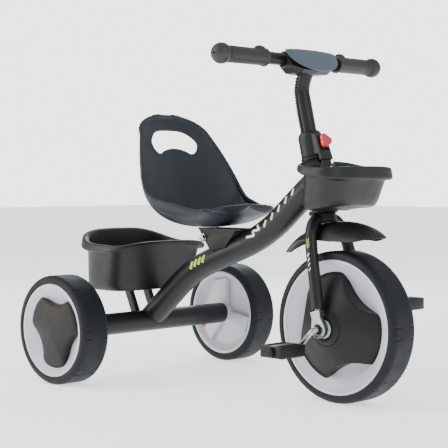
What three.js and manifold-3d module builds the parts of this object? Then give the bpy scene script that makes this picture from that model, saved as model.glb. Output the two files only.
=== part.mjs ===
// Children's tricycle with a bucket seat, two baskets and direct-drive pedals.
// Millimetres. +X forward, +Y the rider's left, +Z up, the ground at Z = 0.
import * as THREE from 'three';
import { mergeVertices } from 'three/addons/utils/BufferGeometryUtils.js';
import Module from 'manifold-3d';

const wasm = await Module();
wasm.setup();

const DEG = Math.PI / 180;
const SIDES = [['right', -1], ['left', 1]];

// ---- Driving dimensions ----
const GAP = 0.3; // between pieces that touch
const WHEELBASE = 477;
const RAKE = 13.7; // degrees that the steering axis leans back

const FRONT_TYRE_R = 125;
const FRONT_TYRE_W = 58;
const FRONT_RIM_R = FRONT_TYRE_R - 14;
const REAR_TYRE_R = 97.5;
const REAR_TYRE_W = 57.5;
const REAR_RIM_R = REAR_TYRE_R - 14.5;
const REAR_TRACK = 426.5; // between the middles of the rear wheels
const TREAD_EDGE_R = 9; // rounding of the tread's shoulders
const RIM_WALL = 5;

const MAIN_TUBE_R = 22.5;
const AXLE_TUBE_R = 20;
const TUBE_WALL = 1.6;
const STEERER_R = 15;
const STEERER_BORE_R = STEERER_R - 1.9;
const HEAD_TUBE_BORE_R = STEERER_R + 2;
const HEAD_TUBE_R = HEAD_TUBE_BORE_R + 2.5;
const HEAD_LOW = FRONT_TYRE_R + 71.3; // along the steering axis from the front axle
const HEAD_LENGTH = 83.7;
const HEAD_HIGH = HEAD_LOW + HEAD_LENGTH;
const CUP_R = HEAD_TUBE_R + 2;
const CUP_LENGTH = 6.5;
const CROWN_R = STEERER_R + 4.5;

const LEG_R = 10;
const LEG_LOW = 32;
const EYE_Y = 62.8; // middle of the dropout eye
const EYE_R = 14.5;
const EYE_BORE_R = 8.5;
const EYE_THICK = 9;

const ROD_R = 5; // crank rod
const CRANK_THROW = 44;
const CRANK_ANGLE = 46; // left crank above the horizon, forward
const CRANK_Y = 79;
const PEDAL_IN_Y = 88.5;
const PEDAL_WIDTH = 57;
const PEDAL_LENGTH = 46;
const PEDAL_THICK = 19;
const PEDAL_WALL = 4;
const HUB_HALF = 54; // front hub, middle to end
const HUB_R = 15;

const STEM_R = STEERER_BORE_R - 0.4;
const STEM_LOW = HEAD_LOW - 6.3;
const STEM_STRAIGHT = HEAD_HIGH + 120;
const RACK_PITCH = 4.5;
const COLLAR_R = STEERER_R + 5.5;
const COLLAR_LENGTH = 43;
const BAR_R = 10.5;
const BAR_RISE = 52.4; // of the handlebar over the end of the straight stem
const BAR_SET_BACK = 2.3;
const GRIP_END_Y = 189; // middle of the ball end
const GRIP_R = 13.7;
const GRIP_BALL_R = 17;
const GRIP_LENGTH = 80;

const FENDER_R = FRONT_TYRE_R + 48; // top of the mudguard from the front axle
const FENDER_WALL = 3;

const SEAT_WALL = 4.5;
const BRACKET_HALF = MAIN_TUBE_R + 2.5;
const BRACKET_WALL = 3;
const BRACKET_RISE = 45.73; // of the bracket's top over the main tube's middle line

const REAR_AXLE_R = 6;
const BUTTON_R = 5;
const BUTTON_TRAVEL = 3;

const AXLE_Z = REAR_TYRE_R;
const TUBE_END_Y = (REAR_TRACK - REAR_TYRE_W) / 2 - 1.5;
const LATCH_Y = TUBE_END_Y - 47;

// ---- Colours ----
const CHARCOAL = 0x24282a;
const BLACK = 0x17191a;
const WHITE = 0xc9cdd6;
const STEEL = 0xb2b8b8;
const RED = 0xcf3d49;
const SLATE = 0x66757f;

function finish(color, roughness, metalness) {
  return new THREE.MeshStandardMaterial({ color, roughness, metalness });
}

const FINISH = {
  paint: () => finish(CHARCOAL, 0.45, 0.3),
  plastic: () => finish(CHARCOAL, 0.5, 0),
  dark: () => finish(BLACK, 0.6, 0),
  rubber: () => finish(BLACK, 0.7, 0),
  rim: () => finish(WHITE, 0.4, 0),
  zinc: () => finish(STEEL, 0.3, 1),
  red: () => finish(RED, 0.4, 0),
  slate: () => finish(SLATE, 0.45, 0),
};

// ---- Solids from geometry ----
const tricycle = new THREE.Group();

// Closed geometry as a solid, with its faces turned outwards.
function solid(geometry) {
  const bare = new THREE.BufferGeometry();
  bare.setAttribute('position', geometry.attributes.position.clone());
  if (geometry.index) bare.setIndex(geometry.index.clone());
  const merged = mergeVertices(bare, 1e-4);
  const p = merged.attributes.position.array;
  const kept = [];
  const index = merged.index.array;
  let volume = 0;
  for (let i = 0; i < index.length; i += 3) {
    const [a, b, c] = [index[i], index[i + 1], index[i + 2]];
    if (a === b || b === c || a === c) continue;
    kept.push(a, b, c);
    const va = new THREE.Vector3().fromArray(p, 3 * a);
    const vb = new THREE.Vector3().fromArray(p, 3 * b);
    const vc = new THREE.Vector3().fromArray(p, 3 * c);
    volume += va.dot(vb.cross(vc));
  }
  if (volume < 0) kept.reverse();
  return new wasm.Manifold(new wasm.Mesh({
    numProp: 3,
    vertProperties: new Float32Array(p),
    triVerts: new Uint32Array(kept),
  }));
}

function joined(first, ...others) {
  return others.reduce((sum, other) => sum.add(other), first);
}

function cut(first, ...others) {
  return others.reduce((rest, other) => rest.subtract(other), first);
}

// A solid as a named mesh of the tricycle.
function piece(name, body, material) {
  const mesh = body.getMesh();
  const geometry = new THREE.BufferGeometry();
  geometry.setAttribute('position', new THREE.BufferAttribute(mesh.vertProperties, 3));
  geometry.setIndex(new THREE.BufferAttribute(mesh.triVerts, 1));
  const node = new THREE.Mesh(geometry, material);
  node.name = name;
  tricycle.add(node);
}

// ---- Places ----
const UPRIGHT = new THREE.Matrix4();
const STEERING = new THREE.Matrix4().makeTranslation(WHEELBASE, 0, FRONT_TYRE_R)
  .multiply(new THREE.Matrix4().makeRotationY(-RAKE * DEG)); // local Z runs up the steering axis

function place(x, y, z) {
  return new THREE.Matrix4().makeTranslation(x, y, z);
}

function onSteering(along, x = 0, y = 0) {
  return new THREE.Vector3(x, y, along).applyMatrix4(STEERING);
}

// ---- Shapes ----
// Turned piece: profile points are [radius, along] and the axis is the matrix's local axis.
function turned(profile, segments, axis, matrix = UPRIGHT) {
  const points = profile.map(([r, along]) => new THREE.Vector2(r, along));
  if (profile[0][0] > 0) points.push(points[0].clone());
  const geometry = new THREE.LatheGeometry(points, segments);
  if (axis === 'z') geometry.rotateX(Math.PI / 2);
  if (axis === 'x') geometry.rotateZ(-Math.PI / 2);
  return solid(geometry.applyMatrix4(matrix));
}

function rod(radius, from, to, segments, axis, matrix) {
  return turned([[0, from], [radius, from], [radius, to], [0, to]], segments, axis, matrix);
}

function sleeve(outer, inner, from, to, segments, axis, matrix) {
  return turned([[inner, from], [outer, from], [outer, to], [inner, to]], segments, axis, matrix);
}

function block(sizeX, sizeY, sizeZ, matrix = UPRIGHT) {
  return solid(new THREE.BoxGeometry(sizeX, sizeY, sizeZ).applyMatrix4(matrix));
}

// Plate of an outline [[x, z], ...] in a plane of constant Y, centred on Y = 0.
function plate(outline, thickness, matrix = UPRIGHT) {
  const shape = new THREE.Shape(outline.map(([x, z]) => new THREE.Vector2(x, z)));
  const geometry = new THREE.ExtrudeGeometry(shape, { depth: thickness, bevelEnabled: false, steps: 1 });
  geometry.translate(0, 0, -thickness / 2).rotateX(Math.PI / 2);
  return solid(geometry.applyMatrix4(matrix));
}

function arcPoints(cx, cy, radius, fromDeg, toDeg, count) {
  return Array.from({ length: count + 1 }, (_, i) => {
    const angle = (fromDeg + (toDeg - fromDeg) * i / count) * DEG;
    return [cx + radius * Math.cos(angle), cy + radius * Math.sin(angle)];
  });
}

// Round bar or tube along a curve.
function swept(curve, outer, inner, sides, steps) {
  const shape = new THREE.Shape();
  shape.absarc(0, 0, outer, 0, 2 * Math.PI, false);
  if (inner > 0) {
    const bore = new THREE.Path();
    bore.absarc(0, 0, inner, 0, 2 * Math.PI, true);
    shape.holes.push(bore);
  }
  const options = { steps, extrudePath: curve, curveSegments: sides / 2, bevelEnabled: false };
  return solid(new THREE.ExtrudeGeometry(shape, options));
}

// Straight runs joined by rounded corners.
function bentPath(corners, radius) {
  const path = new THREE.CurvePath();
  let from = corners[0];
  for (let i = 1; i < corners.length - 1; i += 1) {
    const corner = corners[i];
    const before = corners[i - 1].clone().sub(corner).normalize();
    const after = corners[i + 1].clone().sub(corner).normalize();
    const start = corner.clone().addScaledVector(before, radius);
    const end = corner.clone().addScaledVector(after, radius);
    path.add(new THREE.LineCurve3(from, start));
    path.add(new THREE.QuadraticBezierCurve3(start, corner, end));
    from = end;
  }
  path.add(new THREE.LineCurve3(from, corners.at(-1)));
  return path;
}

function smoothPath(points) {
  return new THREE.CatmullRomCurve3(
    points.map(([x, y, z]) => new THREE.Vector3(x, y, z)), false, 'centripetal',
  );
}

// Closed skin through rings of equal point counts, with both ends capped by fans.
function lofted(rings) {
  const count = rings[0].length;
  const positions = rings.flat(2);
  const index = [];
  for (let i = 0; i < rings.length - 1; i += 1) {
    for (let j = 0; j < count; j += 1) {
      const a = i * count + j;
      const b = i * count + (j + 1) % count;
      index.push(a, b, b + count, a, b + count, a + count);
    }
  }
  const capped = (ring, first, flip) => {
    const centre = [0, 1, 2].map((k) => ring.reduce((sum, point) => sum + point[k], 0) / count);
    const middle = positions.length / 3;
    positions.push(...centre);
    for (let j = 0; j < count; j += 1) {
      const a = first + j;
      const b = first + (j + 1) % count;
      index.push(...(flip ? [middle, b, a] : [middle, a, b]));
    }
  };
  capped(rings[0], 0, true);
  capped(rings.at(-1), (rings.length - 1) * count, false);
  const geometry = new THREE.BufferGeometry();
  geometry.setAttribute('position', new THREE.Float32BufferAttribute(positions, 3));
  geometry.setIndex(index);
  return solid(geometry);
}

// Thin sheet: a grid of points given by at(u, v), thickened along its normals.
function sheet(at, rows, columns, thickness) {
  const point = (i, j) => new THREE.Vector3(...at(i / rows, 2 * j / columns - 1));
  const step = 1e-3;
  const normal = (i, j) => {
    const u = Math.min(Math.max(i / rows, step), 1 - step);
    const v = Math.min(Math.max(2 * j / columns - 1, -1 + step), 1 - step);
    const alongU = new THREE.Vector3(...at(u + step, v)).sub(new THREE.Vector3(...at(u - step, v)));
    const alongV = new THREE.Vector3(...at(u, v + step)).sub(new THREE.Vector3(...at(u, v - step)));
    return alongU.cross(alongV).normalize();
  };
  const faces = [[], []];
  for (let i = 0; i <= rows; i += 1) {
    for (let j = 0; j <= columns; j += 1) {
      const top = point(i, j);
      faces[0].push(top);
      faces[1].push(top.clone().addScaledVector(normal(i, j), thickness));
    }
  }
  const positions = faces.flat().flatMap((p) => p.toArray());
  const wide = columns + 1;
  const back = (rows + 1) * wide;
  const index = [];
  const quad = (a, b, c, d) => index.push(a, b, c, a, c, d);
  for (let i = 0; i < rows; i += 1) {
    for (let j = 0; j < columns; j += 1) {
      const a = i * wide + j;
      quad(a, a + 1, a + wide + 1, a + wide);
      quad(back + a, back + a + wide, back + a + wide + 1, back + a + 1);
    }
    const left = i * wide;
    const right = left + columns;
    quad(left, left + wide, back + left + wide, back + left);
    quad(right + wide, right, back + right, back + right + wide);
  }
  for (let j = 0; j < columns; j += 1) {
    const last = rows * wide + j;
    quad(j + 1, j, back + j, back + j + 1);
    quad(last, last + 1, back + last + 1, back + last);
  }
  const geometry = new THREE.BufferGeometry();
  geometry.setAttribute('position', new THREE.Float32BufferAttribute(positions, 3));
  geometry.setIndex(index);
  return solid(geometry);
}

// Evenly spaced values joined by a smooth curve, read at u from 0 to 1.
function blended(values, u) {
  const last = values.length - 1;
  const i = Math.min(Math.floor(u * last), last - 1);
  const t = u * last - i;
  const before = values[Math.max(i - 1, 0)];
  const after = values[Math.min(i + 2, last)];
  const [a, b] = [values[i], values[i + 1]];
  const slopeA = (b - before) / 2;
  const slopeB = (after - a) / 2;
  return a + t * (slopeA + t * (3 * (b - a) - 2 * slopeA - slopeB + t * (2 * (a - b) + slopeA + slopeB)));
}

// ---- Frame ----
const HEAD_JOINT = onSteering(HEAD_HIGH - 32.4, -2.4);
const MAIN_PATH = bentPath([
  new THREE.Vector3(-8, 0, AXLE_Z + 0.2),
  new THREE.Vector3(113.8, 0, AXLE_Z + 102.5),
  HEAD_JOINT.clone().add(new THREE.Vector3(-113.7, 0, -95.6)),
  HEAD_JOINT,
], 55);
const TUBE_END = TUBE_END_Y;
const SEAT_X = 205; // where the seat's bracket stands on the main tube

function tubeHeight(x) {
  const points = MAIN_PATH.getSpacedPoints(400);
  const next = points.findIndex((point) => point.x >= x);
  const [a, b] = [points[next - 1], points[next]];
  return a.z + (b.z - a.z) * (x - a.x) / (b.x - a.x);
}

const BRACKET_TOP = tubeHeight(SEAT_X) + BRACKET_RISE;

function axleRod(radius, from, to, segments = 32) {
  return rod(radius, from, to, segments, 'y', place(0, 0, AXLE_Z));
}

const mainTubeRoom = swept(MAIN_PATH, MAIN_TUBE_R + 2 * GAP, 0, 14, 11);
const buttonHoles = SIDES.map(([, side]) => (
  rod(BUTTON_R + GAP, -AXLE_TUBE_R - 4, -8.5, 16, 'z', place(0, side * LATCH_Y, AXLE_Z))
));

function frameTubes() {
  const main = swept(MAIN_PATH, MAIN_TUBE_R, MAIN_TUBE_R - TUBE_WALL, 14, 11);
  const axleRoom = axleRod(AXLE_TUBE_R + GAP, -60, 60, 48);
  const headRoom = rod(HEAD_TUBE_R + GAP, HEAD_LOW - 10, HEAD_HIGH + 40, 20, 'z', STEERING);
  piece('main_tube', cut(main, axleRoom, headRoom), FINISH.paint());
  piece(
    'head_tube', sleeve(HEAD_TUBE_R, HEAD_TUBE_BORE_R, HEAD_LOW, HEAD_HIGH, 20, 'z', STEERING),
    FINISH.paint(),
  );
  const axle = sleeve(
    AXLE_TUBE_R, AXLE_TUBE_R - TUBE_WALL, -TUBE_END, TUBE_END, 24, 'y', place(0, 0, AXLE_Z),
  );
  piece('rear_axle_tube', cut(axle, ...buttonHoles), FINISH.paint());
}

const CUP_BORE_R = STEERER_R + GAP;
const INSERT_R = HEAD_TUBE_BORE_R - GAP;
const INSERT_LENGTH = 14;
const LOWER_CUP_R = HEAD_TUBE_R + 5.5;
const LOWER_CUP_FACE = HEAD_LOW - GAP - CUP_LENGTH;
const UPPER_CUP_FACE = HEAD_HIGH + GAP + CUP_LENGTH;

function bearingCups() {
  const upper = [
    [CUP_BORE_R, HEAD_HIGH - INSERT_LENGTH], [INSERT_R, HEAD_HIGH - INSERT_LENGTH],
    [INSERT_R, HEAD_HIGH + GAP], [CUP_R, HEAD_HIGH + GAP],
    [CUP_R, UPPER_CUP_FACE], [CUP_BORE_R, UPPER_CUP_FACE],
  ];
  const lower = [
    [CUP_BORE_R, LOWER_CUP_FACE], [LOWER_CUP_R - 1.5, LOWER_CUP_FACE],
    [LOWER_CUP_R, LOWER_CUP_FACE + 1.5], [LOWER_CUP_R, HEAD_LOW - GAP], [INSERT_R, HEAD_LOW - GAP],
    [INSERT_R, HEAD_LOW + INSERT_LENGTH], [CUP_BORE_R, HEAD_LOW + INSERT_LENGTH],
  ];
  piece('bearing_cup_upper', turned(upper, 20, 'z', STEERING), FINISH.dark());
  piece('bearing_cup_lower', turned(lower, 20, 'z', STEERING), FINISH.dark());
}

// ---- Seat ----
const SEAT_SCREWS = [['rear', 163, 14], ['front', 188, -14]];
const SCREW_R = 2;
const SCREW_HEAD_R = 4;
const SCREW_DEPTH = 3.5; // into the seat's floor
const BOLT_X = 168;
const BOLT_Z = BRACKET_TOP - 18.3;
const BOLT_R = 3;

function screwRooms(places, from, to) {
  return places.map(([, x, y]) => rod(SCREW_R + GAP, from, to, 10, 'z', place(x, y, 0)));
}

// Upright screw whose head spans headLow to headHigh and whose shank spans from to to.
function screwBody([, x, y], from, to, headLow, headHigh) {
  const at = place(x, y, 0);
  return joined(rod(SCREW_HEAD_R, headLow, headHigh, 10, 'z', at), rod(SCREW_R, from, to, 10, 'z', at));
}

function seatBracket() {
  const under = BRACKET_TOP - BRACKET_WALL;
  const cheek = [
    [154, BRACKET_TOP], [185, BRACKET_TOP - 41.3], [222, BRACKET_TOP - 33.3], [252, BRACKET_TOP],
  ];
  const cheekY = BRACKET_HALF - BRACKET_WALL / 2;
  const top = block(108, 2 * BRACKET_HALF, BRACKET_WALL, place(208, 0, under + BRACKET_WALL / 2));
  const folded = joined(
    top, ...[-1, 1].map((side) => plate(cheek, BRACKET_WALL, place(0, side * cheekY, 0))),
  );
  const boltRoom = rod(BOLT_R + GAP, -40, 40, 16, 'y', place(BOLT_X, 0, BOLT_Z));
  const screwRoom = screwRooms(SEAT_SCREWS, under - 5, BRACKET_TOP + 5);
  piece('seat_bracket', cut(folded, mainTubeRoom, boltRoom, ...screwRoom), FINISH.paint());

  const ends = [-1, 1].map((side) => {
    const from = BRACKET_HALF + GAP;
    return rod(6.5, side * from, side * (from + 5), 6, 'y', place(BOLT_X, 0, BOLT_Z));
  });
  const reach = BRACKET_HALF + 6.5;
  const shank = rod(BOLT_R, -reach, reach, 16, 'y', place(BOLT_X, 0, BOLT_Z));
  piece('seat_bracket_bolt', joined(shank, ...ends), FINISH.zinc());

  for (const screw of SEAT_SCREWS) {
    const body = screwBody(screw, under - 1, BRACKET_TOP + SCREW_DEPTH, under - GAP - 2.5, under - GAP);
    piece(`seat_screw_${screw[0]}`, body, FINISH.zinc());
  }
}

// The seat's middle line and its rim, evenly spaced from the front lip over the front roll,
// through the pan and up to the top of the back: [x, z] and [x, y, z], with z over the bracket's top.
const SEAT_MIDDLE = [
  [262, 39.5], [259, 45.5], [236, 25.5], [203, 9.5], [165, 5], [128, 8], [104, 25.5], [92, 55.5],
  [83, 89.5], [72, 122.5], [58, 158.5], [46, 184.5], [38, 207.5],
];
const SEAT_RIM = [
  [240, 77, 26.5], [234, 81, 32.5], [219, 89, 31.5], [199, 98, 37.5], [172, 108, 45.5],
  [141, 117, 52.5], [123, 121, 65.5], [109, 118, 91.5], [98, 112, 112.5], [88, 104, 133.5],
  [74, 92, 160.5], [60, 75, 186.5], [44, 42, 204.5],
];
const SEAT_SQUARE = 3.4; // how late the pan's sides turn up
const BACK_CURVE = 2.1;
const SEAT_LIFT = 0.2;
const THIGH_DIP = 12; // of the lip either side of the middle

function seatPoint(u, v) {
  const middle = [0, 1].map((k) => blended(SEAT_MIDDLE.map((point) => point[k]), u));
  const rim = [0, 1, 2].map((k) => blended(SEAT_RIM.map((point) => point[k]), u));
  const wall = 1 - Math.max(0, 1 - Math.abs(v) ** SEAT_SQUARE) ** (1 / SEAT_SQUARE);
  const back = Math.min(Math.max((u - 0.33) / 0.3, 0), 1);
  const side = wall + (Math.abs(v) ** BACK_CURVE - wall) * back;
  const dip = THIGH_DIP * Math.sin(Math.PI * Math.abs(v)) * Math.max(0, 1 - 11 * u);
  return [
    middle[0] + (rim[0] - middle[0]) * side,
    rim[1] * v,
    BRACKET_TOP + SEAT_LIFT + middle[1] + (rim[2] - middle[1]) * side - dip,
  ];
}

// The same surface with more of its points near the sides, where it turns up.
function spreadSeat(u, v) {
  return seatPoint(u, Math.sin(v * Math.PI / 2) * 0.6 + v * 0.4);
}

function seat() {
  const shell = sheet(spreadSeat, 18, 10, SEAT_WALL);
  const half = [
    [0, 181.7], [33, 179.2], [50, 169.7], [58, 156.7], [55, 143.7],
    [47, 134.7], [36, 132.7], [24, 138.7], [0, 142.7],
  ];
  const outline = [...half, ...half.slice(1, -1).reverse().map(([y, z]) => [-y, z])];
  const shape = new THREE.Shape(outline.map(([y, z]) => new THREE.Vector2(y, BRACKET_TOP + z)));
  const hole = new THREE.ExtrudeGeometry(shape, { depth: 140, bevelEnabled: false, steps: 1 });
  const acrossX = new THREE.Matrix4().makeBasis(
    new THREE.Vector3(0, 1, 0), new THREE.Vector3(0, 0, 1), new THREE.Vector3(1, 0, 0),
  );
  const screwRoom = screwRooms(SEAT_SCREWS, BRACKET_TOP - 5, BRACKET_TOP + SCREW_DEPTH + GAP);
  piece('seat', cut(shell, solid(hole.applyMatrix4(acrossX)), ...screwRoom), FINISH.plastic());
}

// ---- Baskets ----
// Level ring of a basket: a rounded box plan whose height follows the rim's wave.
function basketRing({ x, front, rear, half, corner }, inset, height, count) {
  return Array.from({ length: count }, (_, i) => {
    const angle = 2 * Math.PI * i / count;
    const [c, s] = [Math.cos(angle), Math.sin(angle)];
    const reach = (c > 0 ? front : rear) - inset;
    const px = x + reach * Math.sign(c) * Math.abs(c) ** (2 / corner);
    const py = (half - inset) * Math.sign(s) * Math.abs(s) ** (2 / corner);
    return [px, py, height(c, Math.cos(2 * angle))];
  });
}

// Open basket with a rolled lip that hangs lower on one side.
function basketSolid({ rim, foot, wave, lip, bottom, rise, wall, count }) {
  const top = (c, c2) => wave[0] + wave[1] * c + wave[2] * c2;
  const drop = (c) => lip[0] + lip[1] * c;
  const flat = (z) => (c) => z + rise * c;
  return lofted([
    basketRing(foot, 6, flat(bottom), count),
    basketRing(foot, 0, flat(bottom + 10), count),
    basketRing(rim, 11, (c, c2) => top(c, c2) - drop(c), count),
    basketRing(rim, 3, (c, c2) => top(c, c2) - drop(c), count),
    basketRing(rim, 0, (c, c2) => top(c, c2) - drop(c) + 3, count),
    basketRing(rim, 2.5, top, count),
    basketRing(rim, 9, top, count),
    basketRing(rim, 11 + wall, (c, c2) => top(c, c2) - 5, count),
    basketRing(foot, wall, flat(bottom + 12), count),
    basketRing(foot, 5 + wall, flat(bottom + wall), count),
  ]);
}

const REAR_BASKET = {
  rim: { x: -12, front: 66, rear: 99, half: 117.5, corner: 3.6 },
  foot: { x: -35, front: 56, rear: 63, half: 98, corner: 4 },
  wave: [253.4, -10, 8.1],
  lip: [15, -8],
  bottom: 157,
  rise: 0,
  wall: 3,
  count: 28,
};
const BASKET_SCREWS = [['right', -48, -34], ['left', -48, 34]];

function rearBasket() {
  const low = REAR_BASKET.bottom;
  const screwRoom = screwRooms(BASKET_SCREWS, low - 12, low + 12);
  piece('rear_basket', cut(basketSolid(REAR_BASKET), ...screwRoom), FINISH.plastic());

  const floor = low - GAP;
  const tray = block(34, 76, BRACKET_WALL, place(-42, 0, floor - BRACKET_WALL / 2));
  const leg = [[-50, floor - 1], [-34, floor - 1], [-10, 106], [-26, 106]];
  const legs = [-23, 23].map((y) => plate(leg, 10, place(0, y, 0)));
  const axleRoom = axleRod(AXLE_TUBE_R + GAP, -80, 80, 48);
  const bracket = cut(joined(tray, ...legs), axleRoom, mainTubeRoom, ...screwRoom);
  piece('basket_bracket', bracket, FINISH.paint());

  const under = floor - BRACKET_WALL;
  const inside = low + REAR_BASKET.wall + GAP;
  for (const screw of BASKET_SCREWS) {
    const body = screwBody(screw, under - 2, inside + 1, inside, inside + 2.5);
    piece(`rear_basket_screw_${screw[0]}`, body, FINISH.zinc());
  }
}

const FRONT_BASKET = {
  rim: { x: WHEELBASE - 1, front: 53, rear: 49, half: 88, corner: 3.5 },
  foot: { x: WHEELBASE - 7, front: 33, rear: 41, half: 64, corner: 3.2 },
  wave: [FRONT_TYRE_R + FENDER_R + 91.7, -4.5, 2.8],
  lip: [16, 7],
  bottom: FRONT_TYRE_R + FENDER_R + 20.5,
  rise: 4.5,
  wall: 2.5,
  count: 28,
};
const RECESS_R = HEAD_TUBE_R + 11;
const TONGUE_X = CUP_R + 0.5; // rear face of the collar's tongue, ahead of the steering axis
const TONGUE_FRONT = TONGUE_X + 7.8;
const TONGUE_LOW = HEAD_HIGH - 28;
const TONGUE_FRONT_LOW = TONGUE_X + 6;
const BASKET_SCREW_AT = HEAD_HIGH - 20;

// Room for the head tube behind the front basket, grown by a margin.
function headRecess(margin) {
  const radius = RECESS_R + margin;
  const round = rod(radius, HEAD_LOW - 76, HEAD_HIGH + 60, 20, 'z', STEERING);
  const slot = block(
    80, 2 * radius, 220,
    new THREE.Matrix4().multiplyMatrices(STEERING, place(-40, 0, HEAD_HIGH - 50)),
  );
  return joined(round, slot);
}

function tongueRod(radius, from, to) {
  const matrix = new THREE.Matrix4().multiplyMatrices(STEERING, place(0, 0, BASKET_SCREW_AT));
  return rod(radius, from, to, 12, 'x', matrix);
}

function frontBasket() {
  const { wall } = FRONT_BASKET;
  const bowl = basketSolid(FRONT_BASKET);
  const filled = lofted([0, 1].map((k) => {
    const plan = k ? FRONT_BASKET.rim : FRONT_BASKET.foot;
    const rimHeight = (c, c2) => FRONT_BASKET.wave[0] - 4.5 * c + 2.8 * c2 - 3;
    const floorHeight = (c) => FRONT_BASKET.bottom + 1 + FRONT_BASKET.rise * c;
    const height = k ? rimHeight : floorHeight;
    return basketRing(plan, k ? 11 + wall / 2 : 6, height, FRONT_BASKET.count);
  }));
  const recessWall = filled.intersect(headRecess(wall));
  const shell = cut(
    joined(bowl, recessWall), headRecess(0),
    tongueRod(SCREW_R + GAP, RECESS_R - 10, RECESS_R + 20),
  );
  piece('front_basket', shell, FINISH.plastic());
  const seatAt = RECESS_R + wall + GAP;
  const screw = joined(
    tongueRod(SCREW_HEAD_R, seatAt, seatAt + 2.5), tongueRod(SCREW_R, TONGUE_X + 1, seatAt + 1),
  );
  piece('front_basket_screw', screw, FINISH.zinc());
}

// ---- Fork and collar ----
const CROWN_HIGH_FACE = LOWER_CUP_FACE - GAP;
const CROWN_LOW_FACE = FENDER_R + 0.8;
const STEERER_TOP = HEAD_HIGH + 40;
const COLLAR_LOW = UPPER_CUP_FACE + GAP;
const STUD_AT = HEAD_HIGH + 27;
const STUD_R = 3;

function studRod(radius, from, to, segments = 16) {
  return rod(
    radius, from, to, segments, 'x',
    new THREE.Matrix4().multiplyMatrices(STEERING, place(0, 0, STUD_AT)),
  );
}

function legBody(side, outer, inner) {
  const path = smoothPath([
    [0, 10, HEAD_LOW - 16.3], [0, 22, HEAD_LOW - 17.1], [0, 31, HEAD_LOW - 22.3],
    [0, 38.5, HEAD_LOW - 33.3], [0, 43.5, HEAD_LOW - 46.3], [0, 47.5, HEAD_LOW - 69.3],
    [0, 51, LEG_LOW + 65], [0, 54.5, LEG_LOW + 32], [0, 57.8, LEG_LOW],
  ]);
  const points = path.points.map((p) => new THREE.Vector3(p.x, side * p.y, p.z).applyMatrix4(STEERING));
  return swept(new THREE.CatmullRomCurve3(points, false, 'centripetal'), outer, inner, 10, 9);
}

function forkLeg(name, side) {
  const crownRoom = rod(CROWN_R + GAP, HEAD_LOW - 50, HEAD_LOW + 4, 20, 'z', STEERING);
  piece(name, cut(legBody(side, LEG_R, LEG_R - TUBE_WALL), crownRoom), FINISH.paint());
}

function dropout(side) {
  const neck = [
    ...arcPoints(0, 0, EYE_R, 155, 385, 12),
    [8.5, 20], [10, 26], [10, 30], [-10, 30], [-10, 26], [-8.5, 20],
  ];
  const local = (y) => new THREE.Matrix4().multiplyMatrices(STEERING, place(0, side * y, 0));
  const eye = plate(neck, EYE_THICK, local(EYE_Y));
  const socketAt = new THREE.Matrix4().multiplyMatrices(local(60.5), place(0, 0, 24.5));
  const socket = block(18, 13.4, 11, socketAt);
  const spigot = rod(6.2, 25, LEG_LOW + 9, 12, 'z', local(57.8));
  const bore = rod(EYE_BORE_R, side * 40, side * 80, 16, 'y', local(0));
  piece(`dropout_${side < 0 ? 'right' : 'left'}`, cut(joined(eye, socket, spigot), bore), FINISH.zinc());
}

function crankBush(name, side) {
  const inner = EYE_Y - EYE_THICK / 2 - GAP;
  const profile = [
    [ROD_R + GAP, HUB_HALF + 0.6], [11, HUB_HALF + 0.6], [11, inner],
    [EYE_BORE_R - GAP, inner], [EYE_BORE_R - GAP, 67.4], [ROD_R + GAP, 67.4],
  ].map(([r, y]) => [r, side * y]);
  piece(name, turned(profile, 16, 'y', place(WHEELBASE, 0, FRONT_TYRE_R)), FINISH.dark());
}

function fork() {
  const profile = [
    [0, CROWN_LOW_FACE], [CROWN_R, CROWN_LOW_FACE],
    [CROWN_R, CROWN_HIGH_FACE], [STEERER_R, CROWN_HIGH_FACE],
    [STEERER_R, STEERER_TOP], [STEERER_BORE_R, STEERER_TOP],
    [STEERER_BORE_R, STEM_LOW - 8], [0, STEM_LOW - 8],
  ];
  const steerer = turned(profile, 20, 'z', STEERING);
  const screwRoom = fenderScrew(SCREW_R + GAP + 0.7, CROWN_LOW_FACE - 1, CROWN_LOW_FACE + 7);
  piece(
    'steerer_tube', cut(steerer, studRod(STUD_R + GAP, STEM_R - 3, STEERER_R + 15), screwRoom),
    FINISH.paint(),
  );
  for (const [name, side] of SIDES) {
    forkLeg(`fork_leg_${name}`, side);
    dropout(side);
    crankBush(`crank_bush_${name}`, side);
  }
}


const FENDER_FROM = 137; // degrees round the front axle
const FENDER_TO = 62;
const FENDER_HALF = [5, 22, 31, 37, 33, 17];
const FENDER_DROOP = [1, 10, 24, 33, 27, 17];

function fenderScrew(radius, from, to) {
  return rod(radius, from, to, 12, 'z', STEERING);
}

function fender() {
  const at = (u, v) => {
    const angle = (FENDER_FROM + (FENDER_TO - FENDER_FROM) * u) * DEG;
    const radius = FENDER_R - FENDER_WALL - blended(FENDER_DROOP, u) * Math.abs(v) ** 2.2;
    return [
      WHEELBASE + radius * Math.cos(angle),
      blended(FENDER_HALF, u) * v,
      FRONT_TYRE_R + radius * Math.sin(angle),
    ];
  };
  const wing = sheet(at, 12, 8, FENDER_WALL);
  const legRooms = [-1, 1].map((side) => legBody(side, LEG_R + 2 * GAP, 0));
  piece(
    'fender', cut(wing, fenderScrew(SCREW_R + 1, FENDER_R - 20, FENDER_R + 15), ...legRooms),
    FINISH.plastic(),
  );
  const low = FENDER_R - FENDER_WALL - 1.5;
  const screw = joined(
    fenderScrew(6, low - 3.5, low), fenderScrew(SCREW_R + 0.6, low - 1, CROWN_LOW_FACE + 6),
  );
  piece('fender_screw', screw, FINISH.zinc());
}

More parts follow.
